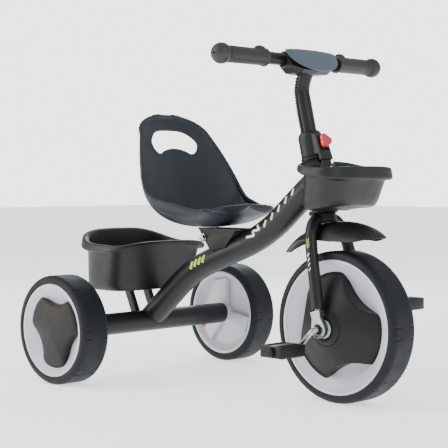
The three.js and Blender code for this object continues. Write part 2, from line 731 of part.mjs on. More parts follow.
function stemCollar() {
  const lip = STEM_R + 2 * GAP;
  const bore = STEERER_R + GAP;
  const high = COLLAR_LOW + COLLAR_LENGTH;
  const sleeveProfile = [
    [bore, COLLAR_LOW], [COLLAR_R, COLLAR_LOW], [COLLAR_R, high - 9], [COLLAR_R - 1.5, high - 4],
    [COLLAR_R - 4.5, high], [lip, high], [lip, STEERER_TOP + GAP], [bore, STEERER_TOP + GAP],
  ];
  const boss = plate([
    [TONGUE_X, HEAD_HIGH - 4], [TONGUE_FRONT, HEAD_HIGH - 4], [TONGUE_X + 5, HEAD_HIGH + 18],
    [TONGUE_X + 3.5, HEAD_HIGH + 36], [TONGUE_X, HEAD_HIGH + 42], [10, HEAD_HIGH + 44],
    [10, COLLAR_LOW], [TONGUE_X, COLLAR_LOW],
  ], 28, STEERING);
  const tongue = plate([
    [TONGUE_X, TONGUE_LOW], [TONGUE_FRONT_LOW, TONGUE_LOW],
    [TONGUE_FRONT_LOW, HEAD_HIGH], [TONGUE_X, HEAD_HIGH],
  ], 20, STEERING);
  const recess = block(
    20, 17, 24,
    new THREE.Matrix4().multiplyMatrices(STEERING, place(TONGUE_X + 9, 0, STUD_AT - 2)),
  );
  const inside = rod(bore, COLLAR_LOW - 1, STEERER_TOP + GAP, 20, 'z', STEERING);
  const body = cut(
    joined(turned(sleeveProfile, 20, 'z', STEERING), boss, tongue),
    recess,
    inside,
    rod(lip, COLLAR_LOW, high + 5, 20, 'z', STEERING),
    studRod(STUD_R + GAP, 10, COLLAR_R + 20),
    tongueRod(SCREW_R + GAP, TONGUE_X - 5, 40),
  );
  piece('stem_collar', body, FINISH.plastic());
}

const KNOB_X = TONGUE_X + 5.5; // rear face of the knob, ahead of the steering axis

function clampKnob() {
  const lobes = 5;
  const shape = new THREE.Shape(Array.from({ length: 30 }, (_, i) => {
    const angle = 2 * Math.PI * i / 30;
    const radius = 11.8 + 1.4 * Math.cos(lobes * angle);
    return new THREE.Vector2(radius * Math.cos(angle), radius * Math.sin(angle));
  }));
  const geometry = new THREE.ExtrudeGeometry(shape, { depth: 9, bevelEnabled: false, steps: 1 });
  geometry.rotateY(Math.PI / 2).translate(KNOB_X, 0, STUD_AT);
  const neck = studRod(6.5, KNOB_X - 4.5, KNOB_X + 0.5);
  const knob = joined(solid(geometry.applyMatrix4(STEERING)), neck);
  piece('clamp_knob', cut(knob, studRod(STUD_R + GAP, KNOB_X - 7, KNOB_X + 5.5)), FINISH.red());
  piece('clamp_stud', studRod(STUD_R, STEM_R + GAP, KNOB_X + 5), FINISH.zinc());
}

// ---- Handlebar ----
const STEM_END = onSteering(STEM_STRAIGHT);
const BAR_X = STEM_END.x - BAR_SET_BACK;
const BAR_Z = STEM_END.z + BAR_RISE;
// from the straight stem into the clamp, [x, z]
const STEM_SWEEP = [[1.7, 13.4], [6.2, 25.4], [10.7, 36.4]];
const CLAMP_HALF = 48;
const COVER_HALF = 62;
const COVER_WIDE = 24;
const COVER_WALL = 3;
const COVER_TILT = 50; // degrees that the cover leans from level
const COVER_MIDDLE = [BAR_X + 31, BAR_Z - 2];
const CLAMP_SECTION = [
  [-17, 6], [-10, 15], [13.5, 14], [40, -18.5], [31, -25], [-4, -25.5], [-16, -14],
]; // round the bar, [x, z]
const BAR_SCREWS = [['right', BAR_X, -26], ['left', BAR_X, 26]];

function handlebar() {
  const stops = [STEM_LOW, HEAD_HIGH, STEM_STRAIGHT - 12, STEM_STRAIGHT];
  const straight = stops.map((along) => onSteering(along));
  const sweep = STEM_SWEEP.map(([x, z]) => STEM_END.clone().add(new THREE.Vector3(x, 0, z)));
  const curve = new THREE.CatmullRomCurve3([...straight, ...sweep], false, 'centripetal');
  piece('stem_tube', swept(curve, STEM_R, STEM_R - TUBE_WALL, 12, 9), FINISH.paint());

  const from = COLLAR_LOW + COLLAR_LENGTH + 2;
  const teeth = Array.from({ length: 2 * RACK_TEETH }, (_, i) => (
    [-STEM_R - GAP - (i % 2 ? 2.8 : 1), from + (i + 0.5) * RACK_PITCH / 2]
  ));
  const rack = [
    [-STEM_R - GAP, from], ...teeth, [-STEM_R - GAP, from + RACK_TEETH * RACK_PITCH],
  ];
  piece('stem_rack', plate(rack, 9, STEERING), FINISH.dark());

  const atBar = place(BAR_X, 0, BAR_Z);
  const barEnd = GRIP_END_Y - 2;
  piece(
    'handlebar_tube', sleeve(BAR_R, BAR_R - TUBE_WALL, -barEnd, barEnd, 20, 'y', atBar),
    FINISH.paint(),
  );
  for (const [name, side] of SIDES) grip(`grip_${name}`, side, barEnd + GAP);

  const barRoom = rod(BAR_R + GAP, -80, 80, 20, 'y', atBar);
  const stemRoom = swept(curve, STEM_R + GAP, 0, 12, 9);
  const screwRoom = screwRooms(BAR_SCREWS, BAR_Z - 30, BAR_Z - BAR_R + 1);
  const headRoom = BAR_SCREWS.map(([, x, y]) => (
    rod(SCREW_HEAD_R + GAP, CLAMP_UNDER - 20, CLAMP_UNDER, 10, 'z', place(x, y, 0))
  ));
  const scales = [
    [-CLAMP_HALF, 0.55], [-0.72 * CLAMP_HALF, 0.93], [0, 1],
    [0.72 * CLAMP_HALF, 0.93], [CLAMP_HALF, 0.55],
  ];
  const housing = lofted(scales.map(([y, k]) => (
    CLAMP_SECTION.map(([x, z]) => [BAR_X + 4 + (x - 4) * k, y, BAR_Z - 4 + (z + 4) * k])
  )));
  const hub = rod(BAR_R + 3.5, -CLAMP_HALF + 4, CLAMP_HALF - 4, 20, 'y', atBar);
  piece(
    'handlebar_clamp',
    cut(joined(housing, hub), barRoom, stemRoom, coverRoom(), ...screwRoom, ...headRoom),
    FINISH.dark(),
  );
  piece('handlebar_cover', coverPlate(0, COVER_WALL), FINISH.slate());
  for (const screw of BAR_SCREWS) {
    const body = screwBody(screw, CLAMP_UNDER - 1, BAR_Z - BAR_R - GAP, CLAMP_UNDER - 3, CLAMP_UNDER - GAP);
    piece(`handlebar_screw_${screw[0]}`, body, FINISH.zinc());
  }
}

const RACK_TEETH = 14;
const CLAMP_UNDER = BAR_Z - 22; // seat of the clamp's screw heads

function coverPlate(from, to) {
  const tilt = COVER_TILT * DEG;
  const outline = Array.from({ length: 36 }, (_, i) => {
    const angle = 2 * Math.PI * i / 36;
    const c = Math.cos(angle);
    return new THREE.Vector2(COVER_HALF * c, COVER_WIDE * Math.sin(angle) * (1 - 0.12 * c * c));
  });
  const depth = to - from;
  const geometry = new THREE.ExtrudeGeometry(
    new THREE.Shape(outline), { depth, bevelEnabled: false, steps: 1 },
  );
  const matrix = new THREE.Matrix4().makeBasis(
    new THREE.Vector3(0, 1, 0),
    new THREE.Vector3(-Math.cos(tilt), 0, Math.sin(tilt)),
    new THREE.Vector3(Math.sin(tilt), 0, Math.cos(tilt)),
  );
  matrix.setPosition(COVER_MIDDLE[0], 0, COVER_MIDDLE[1]);
  return solid(geometry.translate(0, 0, from).applyMatrix4(matrix));
}

function coverRoom() {
  return coverPlate(-GAP, COVER_WALL + 30);
}

function grip(name, side, boreEnd) {
  const inner = GRIP_END_Y - GRIP_LENGTH - 20;
  const ball = arcPoints(0, 0, GRIP_BALL_R, 48, -90, 6).map(([c, s]) => [GRIP_BALL_R, c, s]);
  const profile = [
    [BAR_R + GAP, inner], [GRIP_R + 1.5, inner], [GRIP_R + 1.5, inner + 4], [GRIP_R, inner + 7],
    [GRIP_R, GRIP_END_Y - 14],
    ...ball.map(([, c, s]) => [c, GRIP_END_Y - s]).filter(([r]) => r > 0.01),
    [0, GRIP_END_Y + GRIP_BALL_R], [0, boreEnd], [BAR_R + GAP, boreEnd],
  ];
  const open = profile.map(([r, y]) => [r, side * y]);
  const start = open.findIndex(([r]) => r === 0);
  const loop = [...open.slice(start + 1), ...open.slice(0, start + 1)];
  const body = turned([[0, loop[0][1]], ...loop], 16, 'y', place(BAR_X, 0, BAR_Z));
  const lobe = new THREE.SphereGeometry(9, 10, 7)
    .scale(0.9, 1.35, 1)
    .translate(BAR_X, side * (inner + 12), BAR_Z + 11);
  const bore = rod(BAR_R + GAP, side * (inner - 5), side * boreEnd, 16, 'y', place(BAR_X, 0, BAR_Z));
  piece(name, cut(joined(body, solid(lobe)), bore), FINISH.rubber());
}

// ---- Wheels ----
const SPIN_STEPS = 30;
const FACET_TURN = new THREE.Matrix4().makeRotationY(Math.PI / SPIN_STEPS); // sets a facet under the axle

// Tyre whose flat facet lies under the axle.
function tyre(radius, rimRadius, width) {
  const reach = radius / Math.cos(Math.PI / SPIN_STEPS);
  const half = width / 2;
  const shoulder = arcPoints(reach - TREAD_EDGE_R, half - TREAD_EDGE_R, TREAD_EDGE_R, 90, 0, 2);
  const outside = shoulder.map(([r, y]) => [r, y]);
  const bore = rimRadius + GAP;
  const profile = [[bore, -half], ...outside.map(([r, y]) => [r, -y]), ...outside.reverse(), [bore, half]];
  return (matrix) => turned(
    profile, SPIN_STEPS, 'y', new THREE.Matrix4().multiplyMatrices(matrix, FACET_TURN),
  );
}

// Radius of a cover with three scallops, as a share of the rim's radius.
const LOBE_REACH = 0.8;
const SCALLOP_DEPTH = 0.57;
const SCALLOP_R = 1.19;

function coverEdge(angle, firstScallop) {
  let reach = LOBE_REACH;
  for (let i = 0; i < 3; i += 1) {
    const away = angle - (firstScallop + 120 * i) * DEG;
    const middle = SCALLOP_R + SCALLOP_DEPTH;
    const across = middle * Math.sin(away);
    if (Math.cos(away) > 0 && Math.abs(across) < SCALLOP_R) {
      reach = Math.min(reach, middle * Math.cos(away) - Math.sqrt(SCALLOP_R ** 2 - across ** 2));
    }
  }
  return reach;
}

// Scalloped dome. Each profile row is [share of the edge radius, added radius, height];
// a height of null follows the rim's floor under the edge.
function lobedCover(profile, rimRadius, floor, firstScallop, matrix, open) {
  const count = 30;
  const rings = profile.map(([share, added, height]) => Array.from({ length: count }, (_, i) => {
    const angle = 2 * Math.PI * i / count;
    const edge = rimRadius * coverEdge(angle, firstScallop);
    const radius = share * edge + added;
    const y = height === null ? floor(radius) + GAP + 0.3 : height;
    const point = new THREE.Vector3(radius * Math.cos(angle), y, radius * Math.sin(angle));
    return point.applyMatrix4(matrix).toArray();
  }));
  return open ? loopLofted(rings) : lofted(rings);
}

// Closed skin through rings that come back round to the first one.
function loopLofted(rings) {
  const count = rings[0].length;
  const index = [];
  for (let i = 0; i < rings.length; i += 1) {
    const next = (i + 1) % rings.length;
    for (let j = 0; j < count; j += 1) {
      const across = (j + 1) % count;
      index.push(i * count + j, i * count + across, next * count + across);
      index.push(i * count + j, next * count + across, next * count + j);
    }
  }
  const geometry = new THREE.BufferGeometry();
  geometry.setAttribute('position', new THREE.Float32BufferAttribute(rings.flat(2), 3));
  geometry.setIndex(index);
  return solid(geometry);
}

function stepped(points) {
  return (r) => {
    for (let i = 0; i < points.length - 1; i += 1) {
      const [[r0, y0], [r1, y1]] = [points[i], points[i + 1]];
      if (r <= r1) return y0 + (y1 - y0) * Math.max(0, (r - r0) / (r1 - r0));
    }
    return points.at(-1)[1];
  };
}

function frontWheel() {
  const centre = place(WHEELBASE, 0, FRONT_TYRE_R);
  piece('front_tyre', tyre(FRONT_TYRE_R, FRONT_RIM_R, FRONT_TYRE_W)(centre), FINISH.rubber());
  const lip = FRONT_TYRE_W / 2 - 1.5;
  const face = [[HUB_R, 6], [75, 7], [FRONT_RIM_R - RIM_WALL, lip - 1]];
  const half = [[ROD_R + GAP, HUB_HALF], [HUB_R, HUB_HALF], ...face, [FRONT_RIM_R, lip]];
  const profile = [...half.map(([r, y]) => [r, -y]), ...half.reverse()];
  piece(
    'front_rim',
    turned(profile, SPIN_STEPS, 'y', new THREE.Matrix4().multiplyMatrices(centre, FACET_TURN)),
    FINISH.rim(),
  );

  const bore = HUB_R + GAP;
  const dome = [
    [1, 0, null], [0.97, 0, 20], [0.72, 4, 32], [0.4, 9, 41.5],
    [0, 24, 50], [0, 22, 53.4], [0, bore, 53.4],
    [0, bore, 50.5], [0.4, 8, 38.5], [0.7, 4, 29], [0.93, 0, 18], [0.95, 0, null],
  ];
  for (const [name, side] of SIDES) {
    const matrix = new THREE.Matrix4().multiplyMatrices(centre, new THREE.Matrix4().makeScale(1, side, 1));
    const cover = lobedCover(dome, FRONT_RIM_R, stepped(face), 49, matrix, true);
    piece(`front_cover_${name}`, cover, FINISH.dark());
  }
}

const CRANK_X = CRANK_THROW * Math.cos(CRANK_ANGLE * DEG);
const CRANK_Z = CRANK_THROW * Math.sin(CRANK_ANGLE * DEG);
const PEDAL_OUT_Y = PEDAL_IN_Y + PEDAL_WIDTH;

function pedalPlace(side) {
  return place(WHEELBASE + side * CRANK_X, 0, FRONT_TYRE_R + side * CRANK_Z);
}

function cranks() {
  const corner = (side, y, out) => new THREE.Vector3(
    WHEELBASE + side * CRANK_X * out, side * y, FRONT_TYRE_R + side * CRANK_Z * out,
  );
  const path = bentPath([
    corner(-1, PEDAL_OUT_Y + 3, 1), corner(-1, CRANK_Y, 1), corner(-1, CRANK_Y, 0),
    corner(1, CRANK_Y, 0), corner(1, CRANK_Y, 1), corner(1, PEDAL_OUT_Y + 3, 1),
  ], 8);
  piece('crank_axle', swept(path, ROD_R, 0, 8, 34), FINISH.zinc());
  for (const [name, side] of SIDES) {
    const at = pedalPlace(side);
    pedal(`pedal_${name}`, side, at);
    const cap = [
      [ROD_R + GAP, PEDAL_OUT_Y + GAP], [8, PEDAL_OUT_Y + GAP],
      [8, PEDAL_OUT_Y + 4.5], [6, PEDAL_OUT_Y + 6],
      [0, PEDAL_OUT_Y + 6], [0, PEDAL_OUT_Y + 3 + GAP], [ROD_R + GAP, PEDAL_OUT_Y + 3 + GAP],
    ];
    const loop = [[0, PEDAL_OUT_Y + 3 + GAP], [ROD_R + GAP, PEDAL_OUT_Y + 3 + GAP], ...cap.slice(0, 5)];
    piece(`pedal_cap_${name}`, turned(loop.map(([r, y]) => [r, side * y]), 12, 'y', at), FINISH.dark());
  }
}

function pedal(name, side, at) {
  const middle = side * (PEDAL_IN_Y + PEDAL_OUT_Y) / 2;
  const local = (x, y, z) => new THREE.Matrix4().multiplyMatrices(at, place(x, y, z));
  const body = block(PEDAL_LENGTH, PEDAL_WIDTH, PEDAL_THICK, local(0, middle, 0));
  const barrel = ROD_R + 3.5;
  const windowX = PEDAL_LENGTH / 2 - PEDAL_WALL - barrel;
  const windows = [-1, 1].map((way) => block(
    windowX, PEDAL_WIDTH - 2 * PEDAL_WALL, PEDAL_THICK + 2, local(way * (barrel + windowX / 2), middle, 0),
  ));
  const bore = rod(ROD_R + GAP, side * (PEDAL_IN_Y - 5), side * (PEDAL_OUT_Y + 5), 24, 'y', at);
  piece(name, cut(body, ...windows, bore), FINISH.dark());
}

const REAR_MIDDLE = REAR_TRACK / 2;
const HUB_IN = -27;
const HUB_OUT = 18;

function rearWheel(name, side) {
  const centre = new THREE.Matrix4().multiplyMatrices(
    place(0, side * REAR_MIDDLE, AXLE_Z), new THREE.Matrix4().makeScale(1, side, 1),
  );
  piece(`rear_tyre_${name}`, tyre(REAR_TYRE_R, REAR_RIM_R, REAR_TYRE_W)(centre), FINISH.rubber());
  const lip = REAR_TYRE_W / 2 - 1.5;
  const outFace = [[15, 9], [55, 9], [REAR_RIM_R - RIM_WALL, lip - 1]];
  const bore = REAR_AXLE_R + GAP;
  const profile = [
    [bore, HUB_IN], [15, HUB_IN], [17, -9], [66, -9], [REAR_RIM_R - RIM_WALL, 1 - lip], [REAR_RIM_R, -lip],
    [REAR_RIM_R, lip], ...outFace.slice().reverse(), [15, HUB_OUT], [bore, HUB_OUT],
  ];
  const spokeOutline = [[13, -8], [68, -19], [68, 19], [13, 8]];
  const spokes = [20, 140, 260].map((turn) => plate(spokeOutline, 12, new THREE.Matrix4().multiplyMatrices(
    centre, new THREE.Matrix4().makeRotationY(turn * DEG).setPosition(0, -14, 0),
  )));
  const disc = turned(profile, SPIN_STEPS, 'y', new THREE.Matrix4().multiplyMatrices(centre, FACET_TURN));
  const rimBody = joined(disc, ...spokes);
  piece(`rear_rim_${name}`, rimBody, FINISH.rim());
  const inset = lip + 1.5;
  const dome = [
    [0, 5, inset - 4.5], [0.5, 0, inset - 5.8], [0.86, 0, inset - 9.5], [0.95, 0, null],
    [1, 0, null], [0.98, 0, inset - 8], [0.88, 0, inset - 5.7], [0.5, 0, inset - 2.8], [0, 5, inset - 1.5],
  ];
  const cover = lobedCover(dome, REAR_RIM_R, stepped(outFace), 100, centre, false);
  piece(`rear_cover_${name}`, cover, FINISH.dark());
}

// ---- Rear axles and the wheel release ----
const GROOVE_R = 4.5;
const GROOVE_HALF = 2.7;
const SOCKET_IN = LATCH_Y - 18;
const SOCKET_FLANGE = 2.5;
const YOKE_HALF = 8;
const YOKE_HIGH = 10;
const YOKE_LOW = -12;
const SPRING_R = 3;
const SPRING_WIRE = 0.6;
const SPRING_TURNS = 3;

class SpringCurve extends THREE.Curve {
  constructor(low, high) {
    super();
    this.low = low;
    this.high = high;
  }

  getPoint(t, target = new THREE.Vector3()) {
    const angle = 2 * Math.PI * SPRING_TURNS * t;
    return target.set(
      SPRING_R * Math.cos(angle), SPRING_R * Math.sin(angle), this.low + (this.high - this.low) * t,
    );
  }
}

function rearAxle(name, side) {
  const outwards = new THREE.Matrix4().multiplyMatrices(
    place(0, 0, AXLE_Z), new THREE.Matrix4().makeScale(1, side, 1),
  );
  const hubEnd = REAR_MIDDLE + HUB_OUT;
  const profile = [
    [0, SOCKET_IN + 2], [REAR_AXLE_R, SOCKET_IN + 2], [REAR_AXLE_R, LATCH_Y - GROOVE_HALF],
    [GROOVE_R, LATCH_Y - GROOVE_HALF], [GROOVE_R, LATCH_Y + GROOVE_HALF],
    [REAR_AXLE_R, LATCH_Y + GROOVE_HALF], [REAR_AXLE_R, hubEnd + 0.5],
    [9, hubEnd + 0.5], [9, hubEnd + 3.5], [0, hubEnd + 3.5],
  ];
  piece(`rear_axle_${name}`, turned(profile, 16, 'y', outwards), FINISH.zinc());

  const socketR = AXLE_TUBE_R - TUBE_WALL - GAP;
  const face = TUBE_END + GAP;
  const socketProfile = [
    [REAR_AXLE_R + GAP, SOCKET_IN], [socketR, SOCKET_IN], [socketR, face], [AXLE_TUBE_R - 0.5, face],
    [AXLE_TUBE_R - 0.5, face + SOCKET_FLANGE], [REAR_AXLE_R + GAP, face + SOCKET_FLANGE],
  ];
  const at = place(0, side * LATCH_Y, AXLE_Z);
  const slotHigh = socketR - GAP;
  const slot = block(2 * YOKE_HALF + 2, 5.2, slotHigh + 17, new THREE.Matrix4().multiplyMatrices(
    at, place(0, 0, (slotHigh - 17) / 2),
  ));
  const springRoom = rod(SPRING_R + SPRING_WIRE + GAP, YOKE_HIGH, slotHigh, 12, 'z', at);
  const [buttonRoom] = buttonHoles.slice(side < 0 ? 0 : 1);
  const socket = cut(turned(socketProfile, 20, 'y', outwards), slot, springRoom, buttonRoom);
  piece(`axle_socket_${name}`, socket, FINISH.dark());

  const hoop = plate([
    [-YOKE_HALF, YOKE_LOW], [YOKE_HALF, YOKE_LOW], [YOKE_HALF, YOKE_HIGH], [-YOKE_HALF, YOKE_HIGH],
  ], 4, at);
  const clear = GROOVE_R + 0.5;
  const eye = block(2 * clear, 8, 2 * clear + BUTTON_TRAVEL, new THREE.Matrix4().multiplyMatrices(
    at, place(0, 0, -BUTTON_TRAVEL / 2),
  ));
  const button = rod(BUTTON_R, -AXLE_TUBE_R - 3.5, YOKE_LOW + 0.5, 16, 'z', at);
  piece(`release_button_${name}`, joined(cut(hoop, eye), button), FINISH.red());

  const spring = new SpringCurve(YOKE_HIGH + GAP + SPRING_WIRE, slotHigh - GAP - SPRING_WIRE);
  const coil = new THREE.ExtrudeGeometry(
    new THREE.Shape(arcPoints(0, 0, SPRING_WIRE, 0, 270, 3).map(([x, y]) => new THREE.Vector2(x, y))),
    { steps: 26, extrudePath: spring, bevelEnabled: false },
  );
  piece(`latch_spring_${name}`, solid(coil.applyMatrix4(at)), FINISH.zinc());
}

frameTubes();
bearingCups();
seatBracket();
seat();
rearBasket();
fork();
fender();
stemCollar();
frontBasket();
clampKnob();
handlebar();
frontWheel();
cranks();
for (const [name, side] of SIDES) {
  rearAxle(name, side);
  rearWheel(name, side);
}

// The origin lies on the ground under the middle of the whole machine.
const box = new THREE.Box3().setFromObject(tricycle);
for (const node of tricycle.children) node.geometry.translate(-(box.min.x + box.max.x) / 2, 0, 0);

export default tricycle;
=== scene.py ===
"""Looks of a children's tricycle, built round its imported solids.

Shapes are given in millimetres with the rear axle at X = 0, and made in metres
in the model's frame.
"""

import math

import bmesh
import bpy
import numpy as np
from mathutils import Matrix, Vector

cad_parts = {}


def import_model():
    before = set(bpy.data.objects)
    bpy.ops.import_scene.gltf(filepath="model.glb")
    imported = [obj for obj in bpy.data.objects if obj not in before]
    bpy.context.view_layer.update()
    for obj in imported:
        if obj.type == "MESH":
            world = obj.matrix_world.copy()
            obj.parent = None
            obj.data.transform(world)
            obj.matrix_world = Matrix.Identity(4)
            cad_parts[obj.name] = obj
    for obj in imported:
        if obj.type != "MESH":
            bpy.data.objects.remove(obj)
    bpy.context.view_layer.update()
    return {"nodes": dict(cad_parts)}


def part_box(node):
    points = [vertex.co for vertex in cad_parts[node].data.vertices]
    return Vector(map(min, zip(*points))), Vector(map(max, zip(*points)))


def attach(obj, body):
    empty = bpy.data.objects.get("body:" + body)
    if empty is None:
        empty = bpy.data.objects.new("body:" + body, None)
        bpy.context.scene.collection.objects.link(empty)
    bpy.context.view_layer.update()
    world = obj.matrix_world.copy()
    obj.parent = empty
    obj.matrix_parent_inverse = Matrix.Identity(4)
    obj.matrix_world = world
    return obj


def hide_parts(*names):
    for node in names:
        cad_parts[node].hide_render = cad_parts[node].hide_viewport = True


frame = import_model()



def shift(x, y, z):
    return Matrix.Translation((x, y, z))


SIDES = (("right", -1), ("left", 1))
GAP = 0.3
WHEELBASE = 477.0
RIM_LOW, RIM_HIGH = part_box("front_rim")
SHIFT = WHEELBASE - 500 * (RIM_LOW.x + RIM_HIGH.x)
FRONT_R = 125.0
REAR_R = 97.5
AXLE_Z = REAR_R
REAR_HUB_Y = 213.25
CRANK_Y = 79.0
CRANK_THROW = 44.0
PEDAL_Y = 117.0
KNOB_ALONG = 307.0
BASKET_SCREW_ALONG = 260.0
COVER_REACH = 0.82
SCALLOP_DEPTH = 0.56
SCALLOP_R = 0.84
RAKE = math.radians(13.7)
STEERING = shift(WHEELBASE, 0, FRONT_R) @ Matrix.Rotation(-RAKE, 4, "Y")
FRONT_AXLE = shift(WHEELBASE, 0, FRONT_R)
REAR_AXLE = shift(0, 0, AXLE_Z)

# ---- camera ----


CAMERA_PLACE = (1778.0 - SHIFT, -1569.5, 366.3)
CAMERA_YAW, CAMERA_PITCH = math.radians(135.235), math.radians(-2.0605)
CAMERA_LENS = 99.49


def add_camera():
    data = bpy.data.cameras.new("camera")
    data.lens = CAMERA_LENS
    data.sensor_width = 36
    camera = bpy.data.objects.new("camera", data)
    bpy.context.scene.collection.objects.link(camera)
    level = math.cos(CAMERA_PITCH)
    forward = Vector((math.cos(CAMERA_YAW) * level, math.sin(CAMERA_YAW) * level,
        math.sin(CAMERA_PITCH)))
    camera.location = [value / 1000 for value in CAMERA_PLACE]
    camera.rotation_euler = forward.to_track_quat("-Z", "Y").to_euler()
    bpy.context.scene.camera = camera


add_camera()

# ---- materials ----


class Nodes:
    """A short way to add and join nodes of one tree."""

    def __init__(self, tree):
        self.tree = tree

    def add(self, kind, **values):
        node = self.tree.nodes.new(kind)
        for key, value in values.items():
            setattr(node, key, value)
        return node

    def put(self, node, **values):
        for key, value in values.items():
            node.inputs[key.replace("_", " ")].default_value = value
        return node

    def join(self, start, end):
        self.tree.links.new(start, end)
        return self

    def math(self, operation, *values):
        node = self.add("ShaderNodeMath", operation=operation)
        for slot, value in zip(node.inputs, values):
            if isinstance(value, (int, float)):
                slot.default_value = value
            else:
                self.tree.links.new(value, slot)
        return node.outputs[0]

    def plus(self, first, second):
        return self.math("ADD", first, second)

    def less(self, first, second):
        return self.math("SUBTRACT", first, second)

    def times(self, first, second):
        return self.math("MULTIPLY", first, second)

    def over(self, first, second):
        return self.math("DIVIDE", first, second)


def moulded(name, color, rough, grain=900, bump=0.25, mottle=0.12, metal=0.0, coat=0.0,
            stretch=(1, 1, 1), wear=0.0, wear_color=(0.3, 0.3, 0.3), waves=0.0, gloss=0.5):
    """A finish with fine grain, slow colour change, uneven gloss and rubbed places."""
    material = bpy.data.materials.new(name)
    material.use_nodes = True
    tree = Nodes(material.node_tree)
    shader = material.node_tree.nodes["Principled BSDF"]
    place = tree.add("ShaderNodeTexCoord").outputs["Object"]
    mapping = tree.add("ShaderNodeMapping")
    mapping.inputs["Scale"].default_value = stretch
    tree.join(place, mapping.inputs["Vector"])

    def noise(scale, detail=3.0, roughness=0.5, vector=place):
        node = tree.add("ShaderNodeTexNoise")
        tree.put(node, Scale=scale, Detail=detail, Roughness=roughness)
        tree.join(vector, node.inputs["Vector"])
        return node.outputs["Fac"]

    def spread(value, low, high, start=0.3, end=0.7):
        node = tree.add("ShaderNodeMapRange")
        for slot, number in zip(list(node.inputs)[1:5], (start, end, low, high)):
            slot.default_value = number
        tree.join(value, node.inputs["Value"])
        return node.outputs["Result"]

    slow = noise(14)
    fine = noise(grain, 2.0, 0.6, mapping.outputs["Vector"])
    mix = tree.add("ShaderNodeMix", data_type="RGBA")
    mix.inputs["A"].default_value = (*[c * (1 - mottle) for c in color], 1)
    mix.inputs["B"].default_value = (*[min(1.0, c * (1 + mottle)) for c in color], 1)
    tree.join(spread(slow, 0, 1), mix.inputs["Factor"])
    shade = mix.outputs["Result"]
    if wear:
        rubbed = tree.add("ShaderNodeMix", data_type="RGBA")
        rubbed.inputs["B"].default_value = (*wear_color, 1)
        tree.join(shade, rubbed.inputs["A"])
        tree.join(spread(noise(60, 5.0, 0.65), 0, wear, 0.62, 0.8), rubbed.inputs["Factor"])
        shade = rubbed.outputs["Result"]
    tree.join(shade, shader.inputs["Base Color"])
    tree.join(spread(noise(45, 4), rough * 0.88, min(1, rough * 1.14)), shader.inputs["Roughness"])
    height = fine
    if waves:
        height = tree.plus(fine, tree.times(noise(90, 1), waves))
    bumped = tree.add("ShaderNodeBump")
    tree.put(bumped, Strength=bump, Distance=0.0002)
    tree.join(height, bumped.inputs["Height"])
    tree.join(bumped.outputs["Normal"], shader.inputs["Normal"])
    shader.inputs["Metallic"].default_value = metal
    shader.inputs["Specular IOR Level"].default_value = gloss
    if coat:
        shader.inputs["Coat Weight"].default_value = coat
        shader.inputs["Coat Roughness"].default_value = 0.25
    return material


PAINT = moulded("charcoal_powder_coat", (0.0085, 0.0095, 0.0095), 0.38, 700, 0.22, 0.14, waves=1.5,
    gloss=0.32)
# The seat's copy of the charcoal plastic is lighter and bluer than the baskets' copy (DARK): a painted
# blue sheen of light from above.
SATIN_PAINTED_SHEEN = moulded("satin_charcoal_plastic", (0.0125, 0.0175, 0.0235), 0.4, 1400, 0.3, 0.12,
    gloss=0.42)
DARK = moulded("dark_satin_plastic", (0.0085, 0.0095, 0.0098), 0.42, 1400, 0.3, 0.12, gloss=0.36)
BLACK = moulded("black_grained_plastic", (0.0075, 0.0075, 0.007), 0.46, 1100, 0.35, 0.15,
    gloss=0.27)
TYRE = moulded("black_foam_rubber", (0.0065, 0.0085, 0.0105), 0.55, 520, 0.45, 0.2, wear=0.08,
               wear_color=(0.03, 0.035, 0.04), gloss=0.25)
GRIP = moulded("soft_black_rubber", (0.022, 0.024, 0.024), 0.48, 900, 0.4, 0.14, gloss=0.4)
RIM = moulded("off_white_plastic", (0.60, 0.615, 0.67), 0.36, 1000, 0.12, 0.05, wear=0.08,
              wear_color=(0.42, 0.43, 0.47))
ZINC = moulded("bright_zinc_plate", (0.36, 0.385, 0.385), 0.25, 260, 0.5, 0.25, metal=1.0,
               stretch=(1, 6, 1), wear=0.35, wear_color=(0.1, 0.105, 0.105))
RED = moulded("glossy_red_plastic", (0.60, 0.03, 0.05), 0.3, 800, 0.1, 0.08, coat=0.3)
SLATE = moulded("blue_grey_plastic", (0.062, 0.094, 0.128), 0.34, 1200, 0.12, 0.06, gloss=0.4)
WHITE_PRINT = moulded("white_print", (0.78, 0.78, 0.76), 0.5, 1500, 0.1, 0.04)
LIME_PRINT = moulded("lime_print", (0.46, 0.68, 0.07), 0.5, 1500, 0.1, 0.05)

# ---- mesh tools ----


def world(points):
    """Points in millimetres from the rear axle as metres in the model's frame."""
    points = np.asarray(points, float).reshape(-1, 3)
    return (points - (SHIFT, 0, 0)) / 1000


def moved(matrix, points):
    """Points after a move, whatever the shape of their array."""
    m = np.array(matrix)
    return np.asarray(points, float) @ m[:3, :3].T + m[:3, 3]


def clean(mesh, merge=1e-6):
    bm = bmesh.new()
    bm.from_mesh(mesh)
    bmesh.ops.remove_doubles(bm, verts=bm.verts, dist=merge)
    bmesh.ops.recalc_face_normals(bm, faces=bm.faces)
    bm.to_mesh(mesh)
    bm.free()


def placed(matrix):
    """A matrix in millimetres as one in metres in the model's frame."""
    return shift(-SHIFT / 1000, 0, 0) @ Matrix.Scale(0.001, 4) @ matrix @ Matrix.Scale(1000, 4)


def made(name, points, faces):
    """An object of points in millimetres and faces, with its normals outwards."""
    mesh = bpy.data.meshes.new(name)
    mesh.from_pydata(world(points).tolist(), [], faces)
    clean(mesh)
    obj = bpy.data.objects.new(name, mesh)
    bpy.context.scene.collection.objects.link(obj)
    return obj


